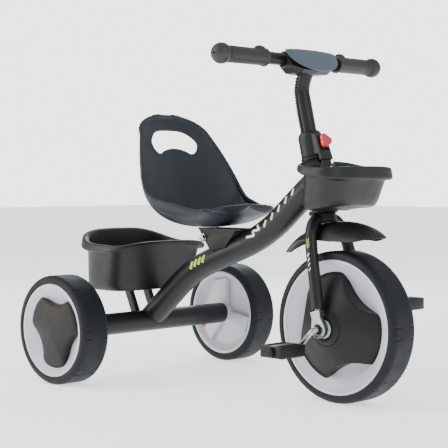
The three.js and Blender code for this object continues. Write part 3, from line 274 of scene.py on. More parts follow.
def softened(rows, radius, steps=4, closed=False):
    """Rows of points with each corner along the rows rounded; radius is one number or one per row."""
    rows = np.asarray(rows, float)
    count = len(rows)
    radii = [radius] * count if np.isscalar(radius) else radius
    out = []
    for i in range(count):
        if radii[i] <= 0 or (not closed and i in (0, count - 1)):
            out.append(rows[i])
            continue
        before, after = rows[i - 1] - rows[i], rows[(i + 1) % count] - rows[i]
        back = np.linalg.norm(before, axis=-1, keepdims=True) + 1e-9
        ahead = np.linalg.norm(after, axis=-1, keepdims=True) + 1e-9
        reach = np.minimum(radii[i], 0.47 * np.minimum(back, ahead))
        start, end = rows[i] + before / back * reach, rows[i] + after / ahead * reach
        for k in range(steps + 1):
            t = k / steps
            out.append((1 - t) ** 2 * start + 2 * t * (1 - t) * rows[i] + t * t * end)
    return np.array(out)


def lofted(name, rings, loop=False):
    """A skin over rings of points, with its ends closed or, as a loop, joined."""
    rings = np.asarray(rings, float)
    rows, count = rings.shape[:2]
    points = rings.reshape(-1, 3)
    faces = []
    for i in range(rows if loop else rows - 1):
        a, b = i * count, (i + 1) % rows * count
        faces += [(a + j, a + (j + 1) % count, b + (j + 1) % count, b + j) for j in range(count)]
    if not loop:
        points = np.vstack([points, rings[0].mean(0), rings[-1].mean(0)])
        first, last = rows * count, (rows - 1) * count
        faces += [(first, (j + 1) % count, j) for j in range(count)]
        faces += [(first + 1, last + j, last + (j + 1) % count) for j in range(count)]
    return made(name, points, faces)


def turned(name, profile, matrix, axis="y", soft=0.6, segments=96):
    """Turned piece from rows of radius, place along the axis and, at choice, the corner's rounding."""
    rows = [row[:2] for row in profile]
    radii = [row[2] if len(row) > 2 else soft for row in profile]
    closed = profile[0][0] > 0
    rows = softened(rows, radii, 4, closed)
    angle = np.linspace(0, 2 * math.pi, segments, endpoint=False)
    c, s = np.cos(angle), np.sin(angle)
    order = {"x": (2, 0, 1), "y": (0, 2, 1), "z": (0, 1, 2)}[axis]
    rings = []
    for radius, along in rows:
        columns = [radius * c, radius * s, np.full(segments, along)]
        rings.append(np.stack([columns[k] for k in order], axis=1))
    rings = moved(matrix, np.array(rings))
    return lofted(name, rings, loop=closed)


def rod(name, radius, low, high, matrix, axis="y", soft=0.0, segments=96):
    """A plain round bar from low to high along the axis."""
    return turned(name, [(0, low), (radius, low), (radius, high), (0, high)], matrix, axis, soft,
        segments)


def swept(name, path, radius, sides=48, reference=(0, 1, 0), squeeze=None, inner=0.0, ends=0.8):
    """Round bar or tube along a path. Squeeze narrows it along the reference direction."""
    path = np.asarray(path, float)
    count = len(path)
    radius = np.full(count, radius) if np.isscalar(radius) else np.asarray(radius, float)
    squeeze = np.ones(count) if squeeze is None else np.asarray(squeeze, float)
    tangent = np.gradient(path, axis=0)
    tangent /= np.linalg.norm(tangent, axis=1, keepdims=True)
    side = np.array(reference, float)
    angle = np.linspace(0, 2 * math.pi, sides, endpoint=False)
    sections = []
    for i in range(count):
        side = side - tangent[i] * side.dot(tangent[i])
        side /= np.linalg.norm(side)
        up = np.cross(tangent[i], side)
        sections.append(np.outer(np.cos(angle), side) * squeeze[i] + np.outer(np.sin(angle), up))
    sections = np.array(sections)
    outer = [path[i] + sections[i] * radius[i] for i in range(count)]
    outer[0] = path[0] + sections[0] * (radius[0] - ends)
    outer.insert(1, path[0] + tangent[0] * ends + sections[0] * radius[0])
    outer[-1] = path[-1] - tangent[-1] * ends + sections[-1] * radius[-1]
    outer.append(path[-1] + sections[-1] * (radius[-1] - ends))
    if inner:
        outer += [path[i] + sections[i] * inner for i in reversed(range(count))]
    return lofted(name, np.array(outer), loop=bool(inner))


def smooth_path(points, steps=12):
    """A smooth curve through points."""
    p = np.asarray(points, float)
    p = np.vstack([2 * p[0] - p[1], p, 2 * p[-1] - p[-2]])
    out = []
    for i in range(1, len(p) - 2):
        a, b, c, d = p[i - 1], p[i], p[i + 1], p[i + 2]
        for k in range(steps):
            t = k / steps
            out.append(0.5 * (2 * b + (c - a) * t + (2 * a - 5 * b + 4 * c - d) * t ** 2
                              + (3 * b - a - 3 * c + d) * t ** 3))
    out.append(p[-2])
    return np.array(out)


def even(path, step):
    """The path with points a step apart."""
    path = np.asarray(path, float)
    along = np.concatenate([[0], np.cumsum(np.linalg.norm(np.diff(path, axis=0), axis=1))])
    wanted = np.linspace(0, along[-1], max(2, int(along[-1] / step) + 1))
    return np.stack([np.interp(wanted, along, path[:, k]) for k in range(3)], axis=1)


def bent(corners, radius, step=4.0):
    return even(softened(corners, [radius] * len(corners), 24), step)


def baked(obj):
    """The object with its modifiers applied."""
    depsgraph = bpy.context.evaluated_depsgraph_get()
    mesh = bpy.data.meshes.new_from_object(obj.evaluated_get(depsgraph))
    obj.modifiers.clear()
    obj.data = mesh
    return obj


def boolean(obj, tool, operation="DIFFERENCE"):
    modifier = obj.modifiers.new("cut", "BOOLEAN")
    modifier.operation = operation
    modifier.object = tool
    modifier.solver = "EXACT"
    baked(obj)
    bpy.data.objects.remove(tool)
    return obj


def merged(name, objects):
    """Several meshes as one."""
    bm = bmesh.new()
    for obj in objects:
        bm.from_mesh(obj.data)
    mesh = bpy.data.meshes.new(name)
    bm.to_mesh(mesh)
    bm.free()
    materials = list(objects[0].data.materials)
    for obj in objects:
        bpy.data.objects.remove(obj)
    for material in materials:
        mesh.materials.append(material)
    obj = bpy.data.objects.new(name, mesh)
    bpy.context.scene.collection.objects.link(obj)
    return obj


def melted(obj, voxel, rounds=6, factor=0.6):
    """One skin over the mesh, with its edges softened."""
    skin = obj.modifiers.new("skin", "REMESH")
    skin.mode = "VOXEL"
    skin.voxel_size = voxel / 1000
    if rounds:
        soft = obj.modifiers.new("soft", "SMOOTH")
        soft.factor = factor
        soft.iterations = rounds
    return baked(obj)


def copied(name, *nodes):
    """A copy of model pieces with their doubled points merged."""
    bm = bmesh.new()
    for node in nodes:
        bm.from_mesh(frame["nodes"][node].data)
    bmesh.ops.remove_doubles(bm, verts=bm.verts, dist=1e-6)
    mesh = bpy.data.meshes.new(name)
    bm.to_mesh(mesh)
    bm.free()
    obj = bpy.data.objects.new(name, mesh)
    bpy.context.scene.collection.objects.link(obj)
    return obj


def bevelled(obj, width=0.8, angle=28, segments=3):
    """The object with its sharp edges rounded."""
    bm = bmesh.new()
    bm.from_mesh(obj.data)
    bmesh.ops.dissolve_limit(bm, angle_limit=math.radians(1.5), verts=bm.verts, edges=bm.edges)
    bm.to_mesh(obj.data)
    bm.free()
    modifier = obj.modifiers.new("edges", "BEVEL")
    modifier.width = width / 1000
    modifier.segments = segments
    modifier.limit_method = "ANGLE"
    modifier.angle_limit = math.radians(angle)
    return baked(obj)


def done(obj, body, material, *nodes, sharp=40):
    """Finishes a piece: material, shading, body and the solids it stands for."""
    obj.data.materials.clear()
    obj.data.materials.append(material)
    obj.data.polygons.foreach_set("material_index", np.zeros(len(obj.data.polygons), np.int32))
    obj.data.polygons.foreach_set("use_smooth", np.ones(len(obj.data.polygons), bool))
    obj.data.set_sharp_from_angle(angle=math.radians(sharp))
    obj.data.update()
    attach(obj, body)
    if nodes:
        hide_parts(*nodes)
    return obj


# ---- geometry node trees ----


def new_tree(name, sockets):
    group = bpy.data.node_groups.new(name, "GeometryNodeTree")
    group.interface.new_socket(name="Geometry", in_out="INPUT", socket_type="NodeSocketGeometry")
    for label, kind, value in sockets:
        socket = group.interface.new_socket(name=label, in_out="INPUT", socket_type=kind)
        if value is not None:
            socket.default_value = value
    group.interface.new_socket(name="Geometry", in_out="OUTPUT", socket_type="NodeSocketGeometry")
    tree = Nodes(group)
    return tree, tree.add("NodeGroupInput").outputs


def finish_tree(tree, enter, geometry):
    real = tree.add("GeometryNodeRealizeInstances")
    paint = tree.add("GeometryNodeSetMaterial")
    leave = tree.add("NodeGroupOutput")
    tree.join(geometry, real.inputs[0]).join(real.outputs[0], paint.inputs["Geometry"])
    tree.join(enter["Material"], paint.inputs["Material"]).join(paint.outputs[0], leave.inputs[0])
    return tree.tree


def grown(obj, tree, matrix=None, **values):
    """Runs a tree on an object with its named inputs set, and puts the result in place."""
    modifier = obj.modifiers.new("grow", "NODES")
    modifier.node_group = tree
    for item in tree.interface.items_tree:
        if item.in_out == "INPUT" and item.name.replace(" ", "_").lower() in values:
            modifier[item.identifier] = values[item.name.replace(" ", "_").lower()]
    obj.update_tag()
    baked(obj)
    if matrix is not None:
        obj.data.transform(placed(matrix))
    return obj


FLOAT, COUNT, PAINTED = "NodeSocketFloat", "NodeSocketInt", "NodeSocketMaterial"


def ring_tree():
    """Copies of the given shape set evenly round the Y axis."""
    tree, enter = new_tree("copies_in_a_ring", [("Count", COUNT, 3), ("Radius", FLOAT, 0.01),
                                                ("Start", FLOAT, 0.0), ("Material", PAINTED, None)])
    points = tree.add("GeometryNodeMeshCircle")
    index = tree.add("GeometryNodeInputIndex")
    copies = tree.add("GeometryNodeInstanceOnPoints")
    turn = tree.add("ShaderNodeCombineXYZ")
    aim = tree.add("ShaderNodeCombineXYZ")
    step = tree.over(index.outputs[0], enter["Count"])
    angle = tree.plus(tree.times(step, 2 * math.pi), enter["Start"])
    tree.join(angle, turn.inputs["Y"])
    tree.join(tree.times(tree.math("SINE", angle), enter["Radius"]), aim.inputs["X"])
    tree.join(tree.times(tree.math("COSINE", angle), enter["Radius"]), aim.inputs["Z"])
    spot = tree.add("GeometryNodeSetPosition")
    tree.join(enter["Count"], points.inputs["Vertices"]).join(points.outputs[0],
        spot.inputs["Geometry"])
    tree.join(aim.outputs[0], spot.inputs["Position"]).join(spot.outputs[0],
        copies.inputs["Points"])
    tree.join(enter["Geometry"], copies.inputs["Instance"]).join(turn.outputs[0],
        copies.inputs["Rotation"])
    return finish_tree(tree, enter, copies.outputs[0])


def row_tree():
    """Copies of the given shape in a straight row along Z."""
    tree, enter = new_tree("copies_in_a_row", [("Count", COUNT, 3), ("Pitch", FLOAT, 0.004),
                                               ("Material", PAINTED, None)])
    line = tree.add("GeometryNodeMeshLine")
    index = tree.add("GeometryNodeInputIndex")
    copies = tree.add("GeometryNodeInstanceOnPoints")
    aim = tree.add("ShaderNodeCombineXYZ")
    tree.join(tree.times(index.outputs[0], enter["Pitch"]), aim.inputs["Z"])
    spot = tree.add("GeometryNodeSetPosition")
    tree.join(enter["Count"], line.inputs["Count"]).join(line.outputs[0], spot.inputs["Geometry"])
    tree.join(aim.outputs[0], spot.inputs["Position"]).join(spot.outputs[0],
        copies.inputs["Points"])
    tree.join(enter["Geometry"], copies.inputs["Instance"])
    return finish_tree(tree, enter, copies.outputs[0])


def path_tree():
    """Copies of the given shape set along a smooth curve, each with its Z along the curve."""
    vector = "NodeSocketVector"
    tree, enter = new_tree("copies_on_a_path", [("Count", COUNT, 20), ("Start", vector, None),
                                                ("Start Handle", vector, None),
                                                ("End Handle", vector, None),
                                                ("End", vector, None), ("Material", PAINTED, None)])
    curve = tree.add("GeometryNodeCurvePrimitiveBezierSegment")
    points = tree.add("GeometryNodeCurveToPoints")
    align = tree.add("FunctionNodeAlignRotationToVector", axis="Z", pivot_axis="Y")
    copies = tree.add("GeometryNodeInstanceOnPoints")
    curve.inputs["Resolution"].default_value = 64
    for label in ("Start", "Start Handle", "End Handle", "End"):
        tree.join(enter[label], curve.inputs[label])
    tree.join(curve.outputs[0], points.inputs["Curve"]).join(enter["Count"], points.inputs["Count"])
    tree.join(points.outputs["Tangent"], align.inputs["Vector"])
    tree.join(points.outputs["Points"], copies.inputs["Points"]).join(enter["Geometry"],
        copies.inputs["Instance"])
    tree.join(align.outputs[0], copies.inputs["Rotation"])
    return finish_tree(tree, enter, copies.outputs[0])


def tyre_tree():
    """A tyre about the Y axis, with pairs of short grooves across its shoulders."""
    tree, enter = new_tree("grooved_tyre", [
        ("Radius", FLOAT, 0.125), ("Bore", FLOAT, 0.111), ("Width", FLOAT, 0.058),
        ("Shoulder", FLOAT, 0.012),
        ("Pairs", FLOAT, 12.0), ("Depth", FLOAT, 0.0012), ("Reach", FLOAT, 0.016),
        ("Material", PAINTED, None)])
    ring = tree.add("GeometryNodeCurvePrimitiveCircle")
    ring.inputs["Resolution"].default_value = 540
    wall = tree.less(enter["Radius"], enter["Bore"])
    middle = tree.plus(enter["Bore"], tree.times(wall, 0.5))
    tree.join(middle, ring.inputs["Radius"])
    section = tree.add("GeometryNodeCurvePrimitiveQuadrilateral")
    tree.join(wall, section.inputs["Width"]).join(enter["Width"], section.inputs["Height"])
    corners = tree.add("GeometryNodeFilletCurve")
    if hasattr(corners, "mode"):
        corners.mode = "POLY"
    corners.inputs["Count"].default_value = 6
    # only the two outer corners are wide; the ones at the bore stay small
    sides = tree.add("GeometryNodeInputPosition")
    split = tree.add("ShaderNodeSeparateXYZ")
    tree.join(sides.outputs[0], split.inputs[0])
    outer = tree.math("GREATER_THAN", split.outputs["X"], 0.0)
    wide = tree.times(outer, tree.less(enter["Shoulder"], 0.0015))
    tree.join(tree.plus(wide, 0.0015), corners.inputs["Radius"])
    tree.join(section.outputs[0], corners.inputs["Curve"])
    dense = tree.add("GeometryNodeResampleCurve")
    dense.inputs["Count"].default_value = 84
    tree.join(corners.outputs[0], dense.inputs["Curve"])
    skin = tree.add("GeometryNodeCurveToMesh")
    tree.join(ring.outputs[0], skin.inputs["Curve"]).join(dense.outputs[0],
        skin.inputs["Profile Curve"])
    place = tree.add("GeometryNodeInputPosition")
    xyz = tree.add("ShaderNodeSeparateXYZ")
    tree.join(place.outputs[0], xyz.inputs[0])
    angle = tree.math("ARCTAN2", xyz.outputs["Y"], xyz.outputs["X"])
    turn = tree.times(angle, tree.over(enter["Pairs"], 2 * math.pi))
    # two grooves a pair, a tenth of the pitch to each side of its middle
    share = tree.math("FRACT", tree.plus(turn, 50.5))
    from_middle = tree.math("ABSOLUTE", tree.less(share, 0.5))
    away = tree.math("ABSOLUTE", tree.less(from_middle, 0.1))
    cut = tree.math("LESS_THAN", away, 0.017)
    across = tree.math("ABSOLUTE", xyz.outputs["Z"])
    half_width = tree.times(enter["Width"], 0.5)
    edge = tree.math("GREATER_THAN", across, tree.less(half_width, enter["Reach"]))
    inside = tree.math("LESS_THAN", across, tree.less(half_width, 0.0035))
    square = [tree.math("POWER", xyz.outputs[label], 2.0) for label in ("X", "Y")]
    far = tree.math("SQRT", tree.plus(*square))
    tread = tree.math("GREATER_THAN", far, middle)
    mask = tree.times(tree.times(cut, tree.times(edge, inside)), tread)
    depth = tree.times(mask, enter["Depth"])
    sink = tree.less(1.0, tree.over(depth, far))
    pulled = tree.add("ShaderNodeCombineXYZ")
    tree.join(tree.times(xyz.outputs["X"], sink), pulled.inputs["X"])
    tree.join(tree.times(xyz.outputs["Y"], sink), pulled.inputs["Y"])
    tree.join(xyz.outputs["Z"], pulled.inputs["Z"])
    carve = tree.add("GeometryNodeSetPosition")
    tree.join(skin.outputs[0], carve.inputs["Geometry"]).join(pulled.outputs[0],
        carve.inputs["Position"])
    lay = tree.add("GeometryNodeTransform")
    lay.inputs["Rotation"].default_value = (math.pi / 2, 0, 0)
    tree.join(carve.outputs[0], lay.inputs["Geometry"])
    return finish_tree(tree, enter, lay.outputs[0])


RING, ROW, PATH, TYRE_SHAPE = ring_tree(), row_tree(), path_tree(), tyre_tree()


def bare(name):
    obj = bpy.data.objects.new(name, bpy.data.meshes.new(name))
    bpy.context.scene.collection.objects.link(obj)
    return obj


def unit_item(name, maker):
    """A shape made about the model's zero, ready to be copied by a tree."""
    obj = maker(name)
    obj.data.transform(shift(SHIFT / 1000, 0, 0))
    return obj


def rounded_box(name, size, centre=(0, 0, 0), matrix=Matrix(), radius=0.8, segments=3):
    half = np.array(size) / 2
    signs = np.array([[x, y, z] for x in (-1, 1) for y in (-1, 1) for z in (-1, 1)])
    points = moved(matrix, signs * half + centre)
    faces = [(0, 1, 3, 2), (4, 6, 7, 5), (0, 4, 5, 1), (2, 3, 7, 6), (0, 2, 6, 4), (1, 5, 7, 3)]
    obj = made(name, points, faces)
    return bevelled(obj, radius, 28, segments) if radius else obj


def plate(name, outline, thickness, matrix, radius=0.6):
    """Flat plate of an outline in X and Z, centred on Y = 0."""
    n = len(outline)
    points = [(x, y, z) for y in (-thickness / 2, thickness / 2) for x, z in outline]
    faces = [tuple(range(n)), tuple(reversed(range(n, 2 * n)))]
    faces += [(i, i + n, (i + 1) % n + n, (i + 1) % n) for i in range(n)]
    obj = made(name, moved(matrix, points), faces)
    return bevelled(obj, radius) if radius else obj


# ---- frame ----
MAIN_R, AXLE_TUBE_R = 22.5, 20.0
HEAD_LOW, HEAD_HIGH = 196.3, 280.0
HEAD_TUBE_R, HEAD_BORE_R = 19.5, 17.0


def on_steering(along, x=0.0, y=0.0):
    return np.array(STEERING @ Vector((x, y, along)))


HEAD_JOINT = on_steering(HEAD_HIGH - 32.4, -2.4)
MAIN_PATH = bent([
    (-8, 0, AXLE_Z + 0.2), (113.8, 0, AXLE_Z + 102.5), HEAD_JOINT + (-113.7, 0, -95.6), HEAD_JOINT,
], 55, 3.0)


def weld(name, target_radius, frame_matrix, axis, path, tube_r, squeeze, size=1.7):
    """A weld bead where the main tube meets a round tube."""
    inverse = np.array(frame_matrix.inverted())
    tangent = np.gradient(path, axis=0)
    tangent /= np.linalg.norm(tangent, axis=1, keepdims=True)
    keep = [k for k in range(3) if k != axis]
    bead = []
    for angle in np.linspace(0, 2 * math.pi, 150, endpoint=False):
        side = np.array([0.0, 1.0, 0.0])
        up = np.cross(tangent, side)
        line = path + tube_r * (math.cos(angle) * squeeze[:, None] * side + math.sin(angle) * up)
        local = line @ inverse[:3, :3].T + inverse[:3, 3]
        away = np.hypot(local[:, keep[0]], local[:, keep[1]]) - target_radius
        hit = np.argmax(away < 0)
        t = away[hit - 1] / (away[hit - 1] - away[hit])
        bead.append(line[hit - 1] + t * (line[hit] - line[hit - 1]))
    bead = np.array(bead)
    ripple = size * (1 + 0.14 * np.sin(np.arange(150) * 2 * math.pi * 40 / 150))
    sections = []
    around = np.linspace(0, 2 * math.pi, 12, endpoint=False)
    for i in range(150):
        ahead = bead[(i + 1) % 150] - bead[i - 1]
        ahead /= np.linalg.norm(ahead)
        side = np.cross(ahead, (0.3, 0.2, 1.0))
        side /= np.linalg.norm(side)
        up = np.cross(ahead, side)
        sections.append(bead[i] + ripple[i] * (np.outer(np.cos(around), side)
            + np.outer(np.sin(around), up)))
    return lofted(name, np.array(sections), loop=True)


def frame_tubes():
    from_head = np.linalg.norm(MAIN_PATH - MAIN_PATH[-1], axis=1)
    squeeze = 1 - 0.16 * np.clip(1 - (from_head - 18) / 40, 0, 1) ** 2
    bead_back = weld("weld_back", AXLE_TUBE_R, REAR_AXLE, 1, MAIN_PATH[::-1], MAIN_R, squeeze[::-1])
    bead_head = weld("weld_head", HEAD_TUBE_R, STEERING, 2, MAIN_PATH, MAIN_R, squeeze)
    tube = swept("main_tube_body", MAIN_PATH, MAIN_R, 72, squeeze=squeeze)
    boolean(tube, rod("room", HEAD_TUBE_R - 0.1, -60, 400, STEERING, "z", 0))
    boolean(tube, rod("room", AXLE_TUBE_R - 0.1, -60, 60, REAR_AXLE, "y", 0))
    # the tube's short ends beyond the joints are dropped
    bm = bmesh.new()
    bm.from_mesh(tube.data)
    parts, seen = [], set()
    for vert in bm.verts:
        if vert in seen:
            continue
        group, todo = [], [vert]
        seen.add(vert)
        while todo:
            v = todo.pop()
            group.append(v)
            for edge in v.link_edges:
                other = edge.other_vert(v)
                if other not in seen:
                    seen.add(other)
                    todo.append(other)
        parts.append(group)
    parts.sort(key=len)
    bmesh.ops.delete(bm, geom=[v for group in parts[:-1] for v in group], context="VERTS")
    bm.to_mesh(tube.data)
    bm.free()
    done(merged("main_tube_painted", [tube, bead_back, bead_head]), "frame", PAINT, "main_tube",
        sharp=50)
    head = turned("head_tube_painted", [
        (HEAD_BORE_R, HEAD_LOW), (HEAD_TUBE_R, HEAD_LOW), (HEAD_TUBE_R, HEAD_HIGH),
        (HEAD_BORE_R, HEAD_HIGH)], STEERING, "z", 0.8)
    done(head, "frame", PAINT, "head_tube")
    end = 183.0
    axle = turned("rear_axle_tube_painted", [
        (18.4, -end), (AXLE_TUBE_R, -end, 1), (AXLE_TUBE_R, end, 1), (18.4, end)], REAR_AXLE, "y",
        0.5)
    for _, side in SIDES:
        at = REAR_AXLE @ shift(0, side * (end - 47), 0)
        boolean(axle, rod("hole", 5.3, -30, -8, at, "z", 0, 32))
    done(axle, "frame", PAINT, "rear_axle_tube")
    cups = {
        "bearing_cup_upper": [(15.3, 266), (16.7, 266), (16.7, 280.3), (21.5, 280.3, 0.8),
            (21.5, 286.8, 1.6), (15.3, 286.8)],
        "bearing_cup_lower": [(15.3, 189.5), (23.5, 189.5, 1.2), (25, 191), (25, 196, 1),
            (16.7, 196), (16.7, 210.3), (15.3, 210.3)],
    }
    for node, profile in cups.items():
        done(turned(node + "_moulded", profile, STEERING, "z", 0.4), "frame", BLACK, node)


frame_tubes()

# ---- fixings ----


def driven_head(name, matrix, radius, height):
    """A button head with a hexagon socket, its top along +Z."""
    head = turned(name, [(0, 0), (radius, 0, 0.2), (radius, height * 0.45, height * 0.5),
        (radius * 0.55, height, 0.8),
                         (0, height)], Matrix(), "z", 0.3, 48)
    room = rod("socket", radius * 0.42, height * 0.35, height + 2, Matrix(), "z", 0, 6)
    boolean(head, room)
    head.data.transform(shift(SHIFT / 1000, 0, 0))
    head.data.transform(placed(matrix))
    return head


def screws():
    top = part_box("seat_bracket")[1].z * 1000
    for node, x, y in (("seat_screw_rear", 163, 14), ("seat_screw_front", 188, -14)):
        under = top - 3.3
        at = shift(x, y, under) @ Matrix.Rotation(math.pi, 4, "X")
        shank = rod("shank", 2, under - 1, top + 3.4, shift(x, y, 0), "z", 0.3, 24)
        done(merged(node + "_zinc", [driven_head("head", at, 4, 2.5), shank]), "frame", ZINC, node)
    for side, y in (("right", -34), ("left", 34)):
        node = f"rear_basket_screw_{side}"
        at = shift(-48, y, 160.3)
        shank = rod("shank", 2, 151.7, 161, shift(-48, y, 0), "z", 0.3, 24)
        done(merged(node + "_zinc", [driven_head("head", at, 4, 2.5), shank]), "frame", ZINC, node)
    for side, y in (("right", -26), ("left", 26)):
        node = f"handlebar_screw_{side}"
        low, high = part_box(node)
        x = 500 * (low.x + high.x) + SHIFT
        at = shift(x, y, low.z * 1000 + 2.7) @ Matrix.Rotation(math.pi, 4, "X")
        shank = rod("shank", 2, low.z * 1000 + 2, high.z * 1000, shift(x, y, 0), "z", 0.3, 24)
        done(merged(node + "_zinc", [driven_head("head", at, 4, 2.7), shank]), "handlebar", ZINC,
            node)
    at = STEERING @ shift(0, 0, BASKET_SCREW_ALONG) @ Matrix.Rotation(math.pi / 2, 4, "Y")
    seat_at = HEAD_TUBE_R + 11 + 2.5 + 0.3
    head = driven_head("head", at @ shift(0, 0, seat_at), 4, 2.5)
    shank = rod("shank", 2, 23, seat_at + 1, STEERING @ shift(0, 0, BASKET_SCREW_ALONG), "x", 0.3,
        24)
    done(merged("front_basket_screw_zinc", [head, shank]), "steering", ZINC, "front_basket_screw")
    at = STEERING @ shift(0, 0, 168.5) @ Matrix.Rotation(math.pi, 4, "X")
    shank = rod("shank", 2.6, 167.5, 179.8, STEERING, "z", 0.3, 24)
    done(merged("fender_screw_zinc", [driven_head("head", at, 6, 3.5), shank]), "steering", ZINC,
        "fender_screw")
    # the seat bracket's bolt: a hexagon head, a nut and a washer under each
    low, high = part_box("seat_bracket_bolt")
    at = shift(168, 0, 500 * (low.z + high.z))
    parts = [rod("shank", 3, -31.5, 31.5, at, "y", 0.5, 32)]
    for side in (-1, 1):
        parts.append(turned("nut", [(0, side * 26.3), (6.4, side * 26.3, 0.2),
            (6.4, side * 30.2, 0.8), (5.2, side * 30.9), (0, side * 30.9)], at, "y", 0.3, 6))
        parts.append(turned("washer", [(3, side * 25.35), (7.6, side * 25.35), (7.6, side * 26.4),
            (3, side * 26.4)], at, "y", 0.3, 40))
    done(merged("seat_bracket_bolt_zinc", parts), "frame", ZINC, "seat_bracket_bolt", sharp=30)


screws()
BRACKET_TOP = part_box("seat_bracket")[1].z * 1000

for node, width in (("seat_bracket", 0.9), ("basket_bracket", 1.0)):
    done(bevelled(copied(node + "_painted", node), width, 30), "frame", PAINT, node, sharp=35)

# ---- seat ----
# the middle line and the rim from the front lip to the top of the back
SEAT_MIDDLE = np.array([
    (262, 39.5), (259, 45.5), (236, 25.5), (203, 9.5), (165, 5), (128, 8), (104, 25.5), (92, 55.5),
    (83, 89.5), (72, 122.5), (58, 158.5), (46, 184.5), (38, 207.5)])
SEAT_RIM = np.array([
    (240, 77, 26.5), (234, 81, 32.5), (219, 89, 31.5), (199, 98, 37.5), (172, 108, 45.5),
    (141, 117, 52.5),
    (123, 121, 65.5), (109, 118, 91.5), (98, 112, 112.5), (88, 104, 133.5), (74, 92, 160.5),
    (60, 75, 186.5), (44, 42, 204.5)])


def blended(values, u):
    last = len(values) - 1
    i = np.clip(np.floor(u * last).astype(int), 0, last - 1)
    t = (u * last - i)[..., None]
    before, a, b, after = values[np.maximum(i - 1, 0)], values[i], values[i
        + 1], values[np.minimum(i + 2, last)]
    rise, fall = (b - before) / 2, (after - a) / 2
    return a + t * (rise + t * (3 * (b - a) - 2 * rise - fall + t * (2 * (a - b) + rise + fall)))


def eased(values, count=61, rounds=12):
    """More points on the same line, with its small kinks smoothed away."""
    fine = blended(values, np.linspace(0, 1, count))
    for _ in range(rounds):
        fine[1:-1] = (fine[:-2] + 2 * fine[1:-1] + fine[2:]) / 4
    return fine


def rounded_top(rim, start=0.86, high=(41, 207.0)):
    """The back's top corners as one round curve."""
    share = np.linspace(0, 1, len(rim))
    t = np.clip((share - start) / (1 - start), 0, 1)
    x, y, z = (np.interp(start, share, rim[:, k]) for k in range(3))
    curve = np.stack([x + (high[0] - x) * t, y * np.sqrt(1 - 0.96 * t ** 2), z + (high[1] - z)
        * t ** 0.95], axis=1)
    return np.where(share[:, None] > start, curve, rim)


SEAT_MIDDLE, SEAT_RIM = eased(SEAT_MIDDLE, rounds=3), rounded_top(eased(SEAT_RIM, rounds=8))


def seat_point(u, v):
    """The seat's top: u from the front lip to the top of the back, v from side to side."""
    middle, rim = blended(SEAT_MIDDLE, u), blended(SEAT_RIM, u)
    wall = 1 - np.maximum(0, 1 - np.abs(v) ** 2.5) ** (1 / 2.5)
    back = np.clip((u - 0.33) / 0.3, 0, 1)
    side = wall + (np.abs(v) ** 2.1 - wall) * back
    dip = 12 * np.sin(math.pi * np.abs(v)) * np.maximum(0, 1 - 11 * u)
    x = middle[..., 0] + (rim[..., 0] - middle[..., 0]) * side
    z = BRACKET_TOP + 0.2 + middle[..., 1] + (rim[..., 2] - middle[..., 1]) * side - dip
    crease = 1.8 * np.exp(-((u - 0.17 - 0.02 * v ** 2) / 0.011) ** 2) * np.clip(3 - 5 * np.abs(v),
        0, 1)
    return np.stack([x, rim[..., 1] * v, z - crease], axis=-1)


def sheet(name, at, rows, columns, thickness, ease=None):
    """A thin sheet over a grid of points, thickened along its normals."""
    u, v = np.meshgrid(np.linspace(0, 1, rows + 1), np.linspace(-1, 1, columns + 1), indexing="ij")
    v = ease(v) if ease else v
    top = at(u, v)
    step = 1e-3
    uc, vc = np.clip(u, step, 1 - step), np.clip(v, -1 + step, 1 - step)
    normal = np.cross(at(uc + step, vc) - at(uc - step, vc), at(uc, vc + step) - at(uc, vc - step))
    normal /= np.linalg.norm(normal, axis=-1, keepdims=True)
    points = np.concatenate([top.reshape(-1, 3), (top + normal * thickness).reshape(-1, 3)])
    wide, back = columns + 1, (rows + 1) * (columns + 1)
    faces = []
    for i in range(rows):
        for j in range(columns):
            a = i * wide + j
            faces += [(a, a + 1, a + wide + 1, a + wide), (back + a, back + a + wide,
                back + a + wide + 1, back + a + 1)]
    edge = [(0, j) for j in range(columns)] + [(i, columns) for i in range(rows)]
    edge += [(rows, j) for j in range(columns, 0, -1)] + [(i, 0) for i in range(rows, 0, -1)]
    loop = [i * wide + j for i, j in edge]
    faces += [(loop[k], loop[(k + 1) % len(loop)], back + loop[(k + 1) % len(loop)], back + loop[k])
        for k in range(len(loop))]
    return made(name, points, faces)


def looped(name, points, radius, sides=12):
    """A round bead along a closed path."""
    points = np.asarray(points, float)
    ahead = np.roll(points, -1, 0) - np.roll(points, 1, 0)
    ahead /= np.linalg.norm(ahead, axis=1, keepdims=True)
    around = np.linspace(0, 2 * math.pi, sides, endpoint=False)
    side = np.cross(ahead, (0.94, 0.02, 0.33))
    side /= np.linalg.norm(side, axis=1, keepdims=True)
    up = np.cross(ahead, side)
    rings = points[:, None] + radius * (np.cos(around)[None, :, None] * side[:, None]
        + np.sin(around)[None, :, None] * up[:, None])
    return lofted(name, rings, loop=True)


